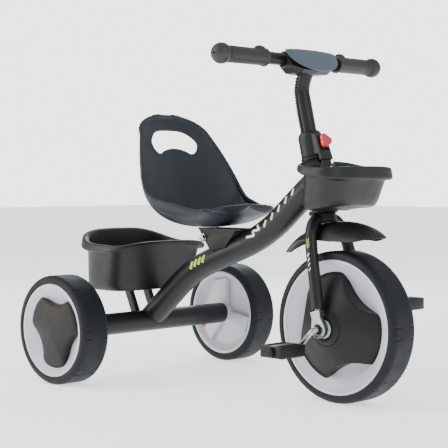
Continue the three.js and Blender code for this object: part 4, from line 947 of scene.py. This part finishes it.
def seat():
    shell = sheet("seat_shell", seat_point, 110, 90, 4.5, lambda v: np.sin(v * math.pi / 2) * 0.6
        + v * 0.4)
    # a bead under the rim, from the front lip round the back and home
    u = np.concatenate([np.linspace(0.02, 1, 120), np.full(40, 1.0), np.linspace(1, 0.02, 120)])
    v = np.concatenate([np.full(120, -1.0), np.linspace(-1, 1, 40), np.full(120, 1.0)])
    rim = seat_point(u, v)
    inside = seat_point(np.clip(u, 0.02, 0.985), v * 0.97)
    out = rim - inside
    out /= np.linalg.norm(out, axis=1, keepdims=True)
    line = even(rim - out * 1.6 + (0, 0, -1.2), 4)
    for _ in range(8):
        line[1:-1] = (line[:-2] + 2 * line[1:-1] + line[2:]) / 4
    bead = swept("seat_bead", line, 3.5, 16, (0.2, 0.1, 1))
    half = [(0, 181.7), (33, 179.2), (50, 169.7), (60, 156.7), (57, 143.7), (48, 134.7),
        (36, 132.7), (24, 138.7), (0, 142.7)]
    outline = half + [(-y, z) for y, z in reversed(half[1:-1])]
    flat = np.array([(y, z, 0) for y, z in outline + outline + outline], float)
    fine = smooth_path(flat, 8)
    start = len(outline) * 8
    fine = fine[start:start + len(outline) * 8]
    count = len(fine)
    points = [(x, y, BRACKET_TOP + z) for x in (-10, 130) for y, z, _ in fine]
    faces = [tuple(range(count)), tuple(reversed(range(count, 2 * count)))]
    faces += [(i, i + count, (i + 1) % count + count, (i + 1) % count) for i in range(count)]
    boolean(shell, made("hole", points, faces))
    # a rolled edge round the hand hole, laid on the back's surface
    u_line = np.linspace(0.5, 1, 400)
    edge = []
    for y, z, _ in fine:
        v_guess = np.zeros(400)
        for _ in range(3):
            rim_y = blended(SEAT_RIM, u_line)[:, 1]
            v_guess = np.clip(y / rim_y, -0.98, 0.98)
        line = seat_point(u_line, v_guess)
        edge.append(line[np.argmin(np.abs(line[:, 2] - BRACKET_TOP - z))])
    edge = np.array(edge)
    for _ in range(3):
        edge = (np.roll(edge, 1, 0) + edge * 2 + np.roll(edge, -1, 0)) / 4
    ring = looped("hole_edge", edge + (-2.0, 0, -0.6), 3.6)
    return melted(merged("seat_moulded", [shell, bead, ring]), 1.7, 7)


# the seat uses the copy of the charcoal plastic with the painted blue sheen
done(seat(), "frame", SATIN_PAINTED_SHEEN, "seat", sharp=60)

# ---- baskets ----


def basket_ring(plan, inset, height, count):
    """One ring of a basket: plan is its middle, front and rear reach, half width and corner."""
    x, front, rear, half, corner = plan
    angle = np.linspace(0, 2 * math.pi, count, endpoint=False)
    c, s = np.cos(angle), np.sin(angle)
    reach = np.where(c > 0, front, rear) - inset
    px = x + reach * np.sign(c) * np.abs(c) ** (2 / corner)
    py = (half - inset) * np.sign(s) * np.abs(s) ** (2 / corner)
    return np.stack([px, py, height(c, np.cos(2 * angle))], axis=1)


def basket(name, rim, foot, wave, lip, bottom, rise, wall, count=260):
    """A basket with a rolled lip, whose top edge rises and falls as wave says."""
    def top(c, c2):
        return wave[0] + wave[1] * c + wave[2] * c2

    def at(z):
        return lambda c, c2: z + rise * c

    def hang(down):
        return lambda c, c2: top(c, c2) - (lip[0] + lip[1] * c) + down

    rows = [
        (foot, foot[3] * 0.45, at(bottom), 0), (foot, 6, at(bottom), 5), (foot, 0, at(bottom + 10),
            9), (rim, 11, hang(0), 1.5),
        (rim, 2.4, hang(0), 1.6), (rim, 0, hang(3), 6), (rim, 2.5, lambda c, c2: top(c, c2), 4),
        (rim, 9, lambda c, c2: top(c, c2), 4),
        (rim, 11 + wall, lambda c, c2: top(c, c2) - 5, 5), (foot, wall, at(bottom + 12), 8),
        (foot, 5 + wall, at(bottom + wall), 4),
        (foot, foot[3] * 0.45, at(bottom + wall), 0),
    ]
    rings = np.array([basket_ring(plan, inset, height, count) for plan, inset, height, _ in rows])
    return lofted(name, softened(rings, [row[3] for row in rows], 5))


def rear_basket():
    body = basket("rear_basket_moulded", (-12, 66, 99, 117.5, 3.6), (-35, 56, 63, 98, 4),
        (253.4, -10, 8.1), (15, -8), 157, 0, 3)
    for y in (-34, 34):
        boolean(body, rod("hole", 2.3, 150, 170, shift(-48, y, 0), "z", 0, 24))
    done(body, "frame", DARK, "rear_basket", sharp=45)


rear_basket()


def head_room(name, margin):
    """The space that the head tube and the main tube take in the front basket."""
    radius = HEAD_TUBE_R + 11 + margin
    room = turned(name, [(0, HEAD_LOW - 76), (radius, HEAD_LOW - 76), (radius, HEAD_HIGH + 60),
        (0, HEAD_HIGH + 60)], STEERING, "z", 0, 96)
    slot = rounded_box("slot", (80, 2 * radius, 220), (-40, 0, HEAD_HIGH - 50), STEERING, 0)
    return boolean(room, slot, "UNION")


def front_basket():
    rim, foot = (WHEELBASE - 1, 53, 49, 88, 3.5), (WHEELBASE - 7, 38, 43, 71, 3.2)
    body = basket("front_basket_moulded", rim, foot, (389.7, -4.5, 2.8), (16, 7), 318.5, 4.5, 2.5)
    solid = lofted("filled", [
        basket_ring(foot, 6, lambda c, c2: 319.5 + 4.5 * c, 96),
        basket_ring(rim, 12.2, lambda c, c2: 386.7 - 4.5 * c + 2.8 * c2, 96)])
    boolean(solid, head_room("grown", 2.5), "INTERSECT")
    body = merged("front_basket_moulded", [body, solid])
    melted(body, 1.25, 0)
    boolean(body, head_room("recess", 0))
    at = STEERING @ shift(0, 0, BASKET_SCREW_ALONG)
    boolean(body, rod("hole", 2.3, 20, 50, at, "x", 0, 24))
    melted(body, 1.15, 5)
    done(body, "steering", DARK, "front_basket", sharp=60)


front_basket()

# ---- fork ----


def leg_path(side):
    """The middle line of a fork leg."""
    points = [(0, 10, HEAD_LOW - 16.3), (0, 22, HEAD_LOW - 17.1), (0, 31, HEAD_LOW - 22.3),
        (0, 38.5, HEAD_LOW - 33.3),
              (0, 43.5, HEAD_LOW - 46.3), (0, 47.5, HEAD_LOW - 69.3), (0, 51, 97), (0, 54.5, 64),
              (0, 57.8, 32)]
    return even(moved(STEERING, smooth_path([(x, side * y, z) for x, y, z in points])), 2.5)


def fork():
    steerer = turned("steerer_painted", [
        (0, 173.8), (19.5, 173.8, 1.5), (19.5, 189.2, 1.2), (15, 189.2), (15, 320), (13.1, 320),
        (13.1, 182), (0, 182)], STEERING, "z", 0.5)
    boolean(steerer, rod("hole", 3.3, 9, 30, STEERING @ shift(0, 0, KNOB_ALONG), "x", 0, 32))
    boolean(steerer, rod("hole", 2.9, 172, 181, STEERING, "z", 0, 24))
    done(steerer, "steering", PAINT, "steerer_tube")
    for name, side in SIDES:
        leg = swept(f"fork_leg_{name}_painted", leg_path(side), 10, 48,
            tuple(STEERING.to_3x3() @ Vector((1, 0, 0))), inner=8.4)
        boolean(leg, rod("room", 19.4, 140, 205, STEERING, "z", 0, 96))
        bead = []
        for angle in np.linspace(0, 2 * math.pi, 120, endpoint=False):
            high, out = 10 * math.sin(angle), 10 * math.cos(angle)
            bead.append((out, side * math.sqrt(max(0.0, 19.5 ** 2 - out ** 2)),
                HEAD_LOW - 16.6 + high))
        bead = moved(STEERING, bead)
        ripple = looped("bead", bead, 1.6)
        leg = merged(f"fork_leg_{name}_painted", [leg, ripple])
        done(leg, "steering", PAINT, f"fork_leg_{name}", sharp=50)
        node = f"dropout_{name}"
        done(melted(copied(node + "_zinc", node), 0.5, 6), "steering", ZINC, node, sharp=60)
        inner = 62.8 - 4.5 - 0.3
        profile = [(5.3, 54.6), (11, 54.6), (11, inner), (8.2, inner), (8.2, 67.4, 0.8),
            (5.3, 67.4)]
        bush = turned(f"crank_bush_{name}_moulded", [(r, side * y, *rest) for r, y,
            *rest in profile], FRONT_AXLE, "y", 0.4, 48)
        done(bush, "steering", BLACK, f"crank_bush_{name}")


fork()


def fender():
    halves = np.array([[6.0], [22], [31], [36], [36], [31]])
    droops = np.array([[1.0], [10], [23], [30], [27], [20]])

    def at(u, v):
        angle = np.radians(137 + (62 - 137) * u)
        tip = np.sqrt(np.clip(1 - ((u - 0.8) / 0.203) ** 2, 0, 1))
        tip = np.where(u > 0.8, tip, 1)
        radius = 170 - blended(droops, u)[..., 0] * tip ** 2 * np.abs(v) ** 2.2 - 5 * (1 - tip)
        return np.stack([WHEELBASE + radius * np.cos(angle), blended(halves, u)[..., 0] * tip * v,
            FRONT_R + radius * np.sin(angle)], axis=-1)

    wing = sheet("fender_moulded", at, 110, 50, 3.0)
    for _, side in SIDES:
        boolean(wing, swept("leg_room", leg_path(side), 10.6, 32,
            tuple(STEERING.to_3x3() @ Vector((1, 0, 0)))))
    boolean(wing, rod("hole", 3, 150, 190, STEERING, "z", 0, 24))
    done(melted(wing, 1.0, 5), "steering", DARK, "fender", sharp=60)


fender()
done(melted(copied("stem_collar_moulded", "stem_collar"), 0.8, 7), "steering", DARK, "stem_collar",
    sharp=60)

# ---- knob ----


def knob():
    x, lobes = 27.5, 3
    angle = np.linspace(0, 2 * math.pi, 160, endpoint=False)
    out = 11.3 + 1.9 * np.cos(lobes * angle)
    rows = [(0.02, -0.2, 0), (0.9, 0, 1), (1, 1.6, 1.5), (1, 7, 2), (0.8, 9, 2), (0.45, 8.2, 1),
        (0.02, 8, 0)]
    rings = [np.stack([np.full(160, x + high), share * out * np.cos(angle),
        share * out * np.sin(angle)], axis=1) for share, high, _ in rows]
    rings = softened(np.array(rings), [row[2] for row in rows], 4)
    at = STEERING @ shift(0, 0, KNOB_ALONG)
    head = lofted("knob_head", moved(at, rings))
    neck = turned("neck", [(3.3, x - 4.5), (6.5, x - 4.5), (6.5, x + 1.0), (3.3, x + 1.0)], at, "x",
        0.5, 48)
    done(merged("clamp_knob_moulded", [head, neck]), "clamp_knob", RED, "clamp_knob", sharp=50)
    stud = [(0, 13.0)]
    for i in range(17):
        stud += [(3.0, 13.2 + i * 0.8, 0), (2.55, 13.6 + i * 0.8, 0)]
    stud += [(3.0, 27.0, 0), (3.0, 29.5, 0.2), (0, 29.5)]
    done(turned("clamp_stud_zinc", stud, at, "x", 0.2, 32), "clamp_knob", ZINC, "clamp_stud",
        sharp=25)


knob()

# ---- stem and handlebar ----
STEM_END = on_steering(400)
BAR_X, BAR_Z = STEM_END[0] - 2.3, STEM_END[2] + 52.4
BAR = shift(BAR_X, 0, BAR_Z)


def stem():
    points = [on_steering(s) for s in (190, 250, 310, 360, 388, 400)] + [STEM_END + p
        for p in ((1.7, 0, 13.4), (6.2, 0, 25.4), (10.7, 0, 36.4))]
    tube = swept("stem_painted", even(smooth_path(points), 3), 12.7, 56, inner=11.1)
    done(tube, "handlebar", PAINT, "stem_tube")
    low, high = 332.5, 397.0
    half_turn = math.radians(82)

    def rib(name):
        angle = np.linspace(math.pi - half_turn, math.pi + half_turn, 26)
        rows = [(12.5, -1.6), (14.2, -0.9), (14.8, -0.3), (14.8, 0.3), (14.2, 0.9), (12.5, 1.6)]
        rings = [[(r * math.cos(t), r * math.sin(t), z) for r, z in rows] for t in angle]
        return lofted(name, rings)

    def place(point):
        return tuple(float(value) / 1000 for value in point)

    top = STEM_END + (4.0, 0, 20)
    ahead = on_steering(1) - on_steering(0)
    ribs = grown(unit_item("ribs", rib), PATH, Matrix.Identity(4), count=22,
        start=place(on_steering(low)),
                 start_handle=place(on_steering(low) + ahead * 30),
                 end_handle=place(top - np.array((6.2, 0, 24))),
                 end=place(top), material=BLACK)
    line = [on_steering(s) for s in (low, low + 25, high - 12, high + 2)] + [top]
    back = swept("strip", even(smooth_path(line), 3) + (-12.6, 0, 0), 1.2, 16)
    done(merged("stem_rack_moulded", [ribs, back]), "handlebar", BLACK, "stem_rack", sharp=35)


stem()


def handlebar():
    end = 187.0
    bar = turned("handlebar_painted", [(8.9, -end), (10.5, -end), (10.5, end), (8.9, end)], BAR,
        "y", 0.5, 64)
    done(bar, "handlebar", PAINT, "handlebar_tube")
    done(melted(copied("handlebar_clamp_moulded", "handlebar_clamp"), 0.9, 9), "handlebar", DARK,
        "handlebar_clamp", sharp=60)
    tilt = math.radians(50)
    angle = np.linspace(0, 2 * math.pi, 200, endpoint=False)
    c, s = np.cos(angle), np.sin(angle)
    basis = Matrix(((0, -math.cos(tilt), math.sin(tilt), BAR_X + 31), (1, 0, 0, 0),
        (0, math.sin(tilt), math.cos(tilt), BAR_Z - 2), (0, 0, 0, 1)))
    rows = [(0.02, 0, 0), (0.98, 0, 0.4), (1.0, 0.8, 0.6), (1.0, 1.8, 0.8), (0.965, 2.5, 1.0),
        (0.6, 2.9, 12), (0.02, 3.0, 0)]
    lens = np.where(s > 0, 18 + 6 * s, 18 - 42 * np.abs(s) ** 0.9)
    rings = [np.stack([share * 62 * c, share * lens, np.full(200, high)], axis=1) for share, high,
        _ in rows]
    cover = lofted("handlebar_cover_moulded",
        moved(basis, softened(np.array(rings), [row[2] for row in rows], 5)))
    done(cover, "handlebar", SLATE, "handlebar_cover", sharp=50)
    for name, side in SIDES:
        done(grip(name, side), "handlebar", GRIP, f"grip_{name}", sharp=40)


def grip(name, side):
    inner = 89.0
    profile = [(10.8, inner), (15.0, inner, 0.8), (15.2, inner + 3.6, 1.5),
        (13.7, inner + 6.5, 1.2)]
    for y in (162, 167):
        profile += [(13.7, y, 0.4), (13.0, y + 0.6, 0.4), (13.0, y + 1.6, 0.4),
            (13.7, y + 2.2, 0.4)]
    profile += [(13.7, 172.5, 1), (12.9, 173.5, 0.4), (12.9, 175.5, 0.5)]
    for k in range(0, 17):
        turn = math.radians(48 - 138 * k / 16)
        y = 189 - 17 * math.sin(turn)
        if k == 1 or k == 2:
            profile.append((17 * math.cos(turn) - (0.0 if k == 2 else 0.4), y, 0.3))
        elif 17 * math.cos(turn) > 2.4:
            profile.append((17 * math.cos(turn), y, 0.3))
    profile += [(2.3, 205.6, 0.3), (1.5, 204.9, 0.4), (1.5, 201, 0.2), (0, 201), ]
    body = turned(f"grip_{name}_moulded", [(0, side * 187.3), (10.8, side * 187.3, 0.3)]
        + [(r, side * y, *rest) for r, y, *rest in profile],
                  BAR, "y", 0.5, 72)
    lobe = turned("lobe", [(0, -12.2)] + [(8.6 * math.cos(t) ** 0.9, 12.15 * math.sin(t), 0)
        for t in np.linspace(-1.4, 1.4, 18)] + [(0, 12.2)],
                  BAR @ shift(0, side * (inner + 12), 10.6), "y", 0, 48)
    bore = turned("bore", [(0, side * (inner - 5)), (10.8, side * (inner - 5)), (10.8, side * 187),
        (0, side * 187)], BAR, "y", 0, 64)
    boolean(lobe, bore)
    return merged(f"grip_{name}_moulded", [body, lobe])


handlebar()

# ---- wheels ----


def cover_edge(angle, first):
    """The edge of a cover with three scallops, as a share of the rim's radius."""
    reach = np.full(angle.shape, COVER_REACH)
    middle = SCALLOP_R + SCALLOP_DEPTH
    for i in range(3):
        away = angle - math.radians(first + 120 * i)
        across = middle * np.sin(away)
        inside = (np.cos(away) > 0) & (np.abs(across) < SCALLOP_R)
        near = middle * np.cos(away) - np.sqrt(np.maximum(0, SCALLOP_R ** 2 - across ** 2))
        reach = np.where(inside, np.minimum(reach, near), reach)
    smooth = reach
    for _ in range(6):
        smooth = (np.roll(smooth, 1) + 2 * smooth + np.roll(smooth, -1)) / 4
    return smooth


def lobed(name, rows, rim_r, floor, first, matrix, closed, count=240, dome=None):
    """A cover with a scalloped edge: rows of share of the edge, added radius, height and rounding.

    Height None lies on the rim's floor. With a dome, height is a lift over the dome at that radius.
    """
    angle = np.linspace(0, 2 * math.pi, count, endpoint=False)
    edge = rim_r * cover_edge(angle, first)
    rings = []
    for share, added, high, _ in rows:
        radius = share * edge + added
        if high is None:
            y = np.interp(radius, *zip(*floor)) + GAP + 0.3
        elif dome and share:
            y = np.interp(radius, *zip(*dome)) + high
        else:
            y = np.full(count, high)
        rings.append(np.stack([radius * np.cos(angle), y, radius * np.sin(angle)], axis=1))
    rings = softened(np.array(rings), [row[3] for row in rows], 4, closed)
    return lofted(name, moved(matrix, rings), loop=closed)


def front_wheel():
    tyre = grown(bare("front_tyre_foam"), TYRE_SHAPE, FRONT_AXLE, radius=FRONT_R / 1000,
        bore=0.1113, width=0.058, shoulder=0.010,
                 pairs=8.0, depth=0.0011, reach=0.017, material=TYRE)
    done(tyre, "front_wheel", TYRE, "front_tyre", sharp=45)
    face = [(15, 6), (75, 7), (106, 26.5)]
    half = [(5.3, 54, 0.5), (15, 54, 1), (15, 6, 2), (75, 7, 10), (104, 25, 3), (106.5, 27.7, 1.2),
        (111, 27.5, 1.2)]
    profile = [(r, -y, f) for r, y, f in half] + [(r, y, f) for r, y, f in reversed(half)]
    rim = turned("front_rim_moulded", profile, FRONT_AXLE, "y", 0.5, 160)
    done(rim, "front_wheel", RIM, "front_rim")
    dome = [(24, 50), (33, 45.6), (44.6, 41.2), (56, 36.8), (68, 31), (80, 23.5), (89, 15.5),
        (93, 12)]
    rows = [(1, -0.3, None, 0), (1, -0.3, -3.0, 1), (0.985, 0, -0.5, 2)]
    rows += [(share, 9 * (1 - share), 0, 0) for share in (0.93, 0.85, 0.76, 0.66, 0.56)]
    rows += [
        (0.44, 9, 0, 0), (0, 31, 46, 1.2), (0, 30.2, 47.6, 0.8), (0, 28.6, 47.6, 0.8),
        (0, 27.6, 47.2, 0.8),
        (0, 24, 50.2, 2), (0, 22, 53.2, 1.2), (0, 15.5, 53.4, 0.4), (0, 15.5, 50.5, 0.3),
        (0.4, 8, -2.4, 4)]
    rows += [(share, 7 * (1 - share), -2.4, 0) for share in (0.6, 0.75, 0.88)]
    rows += [(0.95, 0, -3.4, 1), (0.95, 0, None, 0)]
    for name, side in SIDES:
        matrix = FRONT_AXLE @ Matrix.Diagonal((1, side, 1, 1))
        cover = lobed(f"front_cover_{name}_moulded", rows, 111, face, 49, matrix, True, dome=dome)
        done(cover, "front_wheel", BLACK, f"front_cover_{name}", sharp=45)


front_wheel()


def rear_wheels():
    for name, side in SIDES:
        body = f"rear_wheel_{name}"
        centre = shift(0, side * REAR_HUB_Y, AXLE_Z) @ Matrix.Diagonal((1, side, 1, 1))
        tyre = grown(bare(f"rear_tyre_{name}_foam"), TYRE_SHAPE, shift(0, side * REAR_HUB_Y,
            AXLE_Z), radius=REAR_R / 1000,
                     bore=0.0833, width=0.0575, shoulder=0.009, pairs=8.0, depth=0.0011,
                     reach=0.017, material=TYRE)
        done(tyre, body, TYRE, f"rear_tyre_{name}", sharp=45)
        profile = [
            (6.3, -27, 0.5), (15, -27, 1), (17, -9, 3), (66, -9, 7), (76, -25, 3),
            (78.5, -27.5, 1.2), (83, -27.2, 1),
            (83, 27.2, 1), (78.5, 27.5, 1.2), (76, 25, 3), (55, 9, 8), (15, 9, 2), (15, 18, 1),
            (6.3, 18, 0.5)]
        rim = turned(f"rear_rim_{name}_moulded", profile, centre, "y", 0.5, 160)

        def spoke(label):
            return plate(label, [(-8, 13), (-19, 68), (19, 68), (8, 13)], 11.5,
                shift(0, -side * 13.9, 0), 1.8)

        spokes = grown(unit_item("spokes", spoke), RING, shift(0, side * REAR_HUB_Y, AXLE_Z),
            count=3, radius=0.0,
                       start=math.radians(110), material=RIM)
        done(merged(f"rear_rim_{name}_moulded", [rim, spokes]), body, RIM, f"rear_rim_{name}")
        rows = [
            (0.02, 0, 24.2, 0), (0.5, 0, 22.9, 10), (0.86, 0, 19.5, 3), (0.95, 0, None, 0),
            (0.998, -0.2, None, 0),
            (0.995, 0, 16.5, 1.5), (0.965, 0, 20.2, 2.5), (0.88, 0, 22.6, 5), (0.5, 0, 25.8, 14),
            (0.02, 0, 27.2, 0)]
        cover = lobed(f"rear_cover_{name}_moulded", rows, 83, [(15, 9), (55, 9), (78, 26.2)], 88,
            centre, False)
        done(cover, body, BLACK, f"rear_cover_{name}", sharp=50)


rear_wheels()

# ---- cranks and pedals ----


def cranks():
    angle = math.radians(46)
    cx, cz = CRANK_THROW * math.cos(angle), CRANK_THROW * math.sin(angle)

    def corner(side, y, out):
        return (WHEELBASE + side * cx * out, side * y, FRONT_R + side * cz * out)

    path = bent([corner(-1, 148.5, 1), corner(-1, CRANK_Y, 1), corner(-1, CRANK_Y, 0),
        corner(1, CRANK_Y, 0), corner(1, CRANK_Y, 1), corner(1, 148.5, 1)], 9, 1.2)
    rod = swept("crank_axle_zinc", path, 5, 36, (1, 0, 0.3))
    done(rod, "front_wheel", ZINC, "crank_axle")
    for name, side in SIDES:
        at = shift(WHEELBASE + side * cx, 0, FRONT_R + side * cz)
        node = f"pedal_{name}"
        body = bevelled(copied("pedal_body", node), 1.3, 30)

        def rib(label):
            return rounded_box(label, (1.6, 3.4, 1.1), (0, 0, 0), Matrix(), 0.4, 2)

        parts = [body]
        for x in (-20.9, 20.9):
            for z in (9.3, -9.3):
                spot = at @ shift(x, side * PEDAL_Y - 22.8, z) @ Matrix.Rotation(-math.pi / 2, 4,
                    "X")
                parts.append(grown(unit_item("ribs", rib), ROW, spot, count=9, pitch=0.0057,
                    material=BLACK))
        done(merged(node + "_moulded", parts), node, BLACK, node, sharp=35)
        loop = [(0, 148.8), (5.3, 148.8), (5.3, 145.8), (8, 145.8), (8, 150, 2), (6, 151.4, 1.2),
            (0, 151.5)]
        piece = turned(f"pedal_cap_{name}_moulded", [(r, side * y, *rest) for r, y, *rest in loop],
            at, "y", 0.4, 48)
        done(piece, node, BLACK, f"pedal_cap_{name}")


cranks()

# ---- rear axles and their release ----


def rear_axles():
    for name, side in SIDES:
        low, groove = 136 - 18, 136
        profile = [
            (0, low + 2), (6, low + 2, 0.6), (6, groove - 2.7, 0.3), (4.5, groove - 2.7, 0.3),
            (4.5, groove + 2.7, 0.3), (6, groove + 2.7, 0.3),
            (6, 231.75, 0.3), (9, 231.75, 0.4), (9, 234.7, 1.0), (0, 234.7)]
        rod = turned(f"rear_axle_{name}_zinc", [(r, side * y, *rest) for r, y, *rest in profile],
            REAR_AXLE, "y", 0.3, 48)
        done(rod, "frame", ZINC, f"rear_axle_{name}")
        node = f"release_button_{name}"
        done(bevelled(copied(node + "_moulded", node), 0.25, 30, 2), node, RED, node, sharp=35)
        node = f"axle_socket_{name}"
        done(copied(node + "_moulded", node), "frame", BLACK, node, sharp=35)
        spring = frame["nodes"][f"latch_spring_{name}"]
        spring.data.materials.clear()
        spring.data.materials.append(ZINC)


rear_axles()

# ---- printed marks ----


def mark(name, corners, path, radius, body, material, lift=0.35):
    """A thin raised mark on a tube. Corners are outlines of (place along, turn round in degrees)."""
    path = np.asarray(path, float)
    tangent = np.gradient(path, axis=0)
    tangent /= np.linalg.norm(tangent, axis=1, keepdims=True)
    along = np.concatenate([[0], np.cumsum(np.linalg.norm(np.diff(path, axis=0), axis=1))])
    parts = []

    def at(s, turn, r):
        p = np.array([np.interp(s, along, path[:, k]) for k in range(3)])
        t = np.array([np.interp(s, along, tangent[:, k]) for k in range(3)])
        side = np.array([0.0, -1.0, 0.0])
        side = side - t * side.dot(t)
        side /= np.linalg.norm(side)
        up = np.cross(side, t)
        up = up if up[2] - 2 * up[0] > 0 else -up
        return p + r * (math.cos(turn) * side + math.sin(turn) * up)

    for a, b, c, d in corners:
        steps = 10
        grid = []
        for r in (radius - 0.4, radius + lift):
            for i in range(steps + 1):
                for j in range(4):
                    u, w = i / steps, j / 3
                    low = (np.array(a) * (1 - u) + np.array(b) * u)
                    high = (np.array(d) * (1 - u) + np.array(c) * u)
                    s, turn = low * (1 - w) + high * w
                    grid.append(at(s, math.radians(turn), r))
        n = (steps + 1) * 4
        faces = []
        for i in range(steps):
            for j in range(3):
                q = i * 4 + j
                faces += [(q, q + 1, q + 5, q + 4), (n + q, n + q + 4, n + q + 5, n + q + 1)]
            q = i * 4
            faces += [(q, q + 4, n + q + 4, n + q), (q + 3, n + q + 3, n + q + 7, q + 7)]
        for j in range(3):
            q = steps * 4 + j
            faces += [(j, n + j, n + j + 1, j + 1), (q, q + 1, n + q + 1, n + q)]
        parts.append(made("stroke", grid, faces))
    return done(merged(name, parts), body, material, sharp=50)


def stroke(s0, t0, s1, t1, wide):
    """A straight bar between two places, as a four-cornered outline."""
    per = 180 / math.pi / MAIN_R
    ds, dt = s1 - s0, (t1 - t0) / per
    long = math.hypot(ds, dt)
    ns, nt = -dt / long * wide / 2, ds / long * wide / 2 * per
    return ((s0 + ns, t0 + nt), (s1 + ns, t1 + nt), (s1 - ns, t1 - nt), (s0 - ns, t0 - nt))


def marks():
    white = [
        stroke(330, 14, 350, 0, 4.2), stroke(350, 0, 348, 24, 4.2), stroke(348, 24, 366, 8, 4.2),
        stroke(366, 8, 362, 38, 4.2)]
    for k in range(5):
        start = 378 + 21 * k
        white += [stroke(start, 2 + 2 * k, start + 9, 24 + 2 * k, 4.6)]
    mark("white_stripes", white, MAIN_PATH, MAIN_R, "frame", WHITE_PRINT)
    lime = [stroke(176 + 11 * k, -4, 184 + 11 * k, 26, 6.0) for k in range(4)]
    mark("lime_stripes", lime, MAIN_PATH, MAIN_R, "frame", LIME_PRINT)
    leg = leg_path(-1)
    high = [((s, -24), (s + 5, -8), (s + 7, -8), (s + 2, -24)) for s in (52, 57, 62)]
    high += [((s + 5, -8), (s, 8), (s + 2, 8), (s + 7, -8)) for s in (52, 57, 62)]
    mark("leg_lime_stripes", high, leg, 10, "steering", LIME_PRINT)
    low = [((s, -14), (s + 4, 8), (s + 6.5, 8), (s + 2.5, -14)) for s in (76, 84, 92, 100)]
    mark("leg_white_stripes", low, leg, 10, "steering", WHITE_PRINT)


marks()

# ---- setting ----
FLOOR_GLOW = 1.1
SKY_LIGHT, SKY_SEEN = 0.85, 3.2
# name, place in metres, size in metres, power in watts, colour
LAMPS = [
    ("key", (-0.9, -1.5, 1.7), 1.3, 24, (0.92, 0.96, 1.0)),
    ("fill", (1.9, -0.3, 1.5), 1.2, 11, (0.95, 0.98, 1.0)),
    ("warm", (-2.0, -2.2, 0.8), 0.9, 30, (1.0, 0.82, 0.66)),
    ("back", (-1.5, 1.5, 1.2), 1.0, 16, (0.80, 0.90, 1.0)),
]


def setting():
    mesh = bpy.data.meshes.new("floor")
    mesh.from_pydata([(-12, -12, 0), (12, -12, 0), (12, 12, 0), (-12, 12, 0)], [], [(0, 1, 2, 3)])
    floor = bpy.data.objects.new("floor", mesh)
    bpy.context.scene.collection.objects.link(floor)
    paper = moulded("pale_floor", (0.97, 0.97, 0.97), 0.9, 40, 0.02, 0.005, gloss=0.1)
    shader = paper.node_tree.nodes["Principled BSDF"]
    shader.inputs["Emission Color"].default_value = (1, 1, 1, 1)
    shader.inputs["Emission Strength"].default_value = FLOOR_GLOW
    floor.data.materials.append(paper)
    sky = bpy.data.worlds.new("studio")
    sky.use_nodes = True
    tree = Nodes(sky.node_tree)
    lit = sky.node_tree.nodes["Background"]
    lit.inputs["Color"].default_value = (0.94, 0.97, 1.0, 1)
    lit.inputs["Strength"].default_value = SKY_LIGHT
    seen = tree.add("ShaderNodeBackground")
    seen.inputs["Color"].default_value = (1, 1, 1, 1)
    seen.inputs["Strength"].default_value = SKY_SEEN
    mix = tree.add("ShaderNodeMixShader")
    tree.join(tree.add("ShaderNodeLightPath").outputs["Is Camera Ray"], mix.inputs["Fac"])
    tree.join(lit.outputs[0], mix.inputs[1])
    tree.join(seen.outputs[0], mix.inputs[2])
    tree.join(mix.outputs[0], sky.node_tree.nodes["World Output"].inputs["Surface"])
    bpy.context.scene.world = sky
    for name, spot, size, power, color in LAMPS:
        data = bpy.data.lights.new(name, "AREA")
        data.size = size
        data.energy = power
        data.color = color
        lamp = bpy.data.objects.new(name, data)
        lamp.location = spot
        lamp.rotation_euler = (Vector((0, 0, 0.25)) - Vector(spot)).to_track_quat("-Z",
            "Y").to_euler()
        bpy.context.scene.collection.objects.link(lamp)


setting()
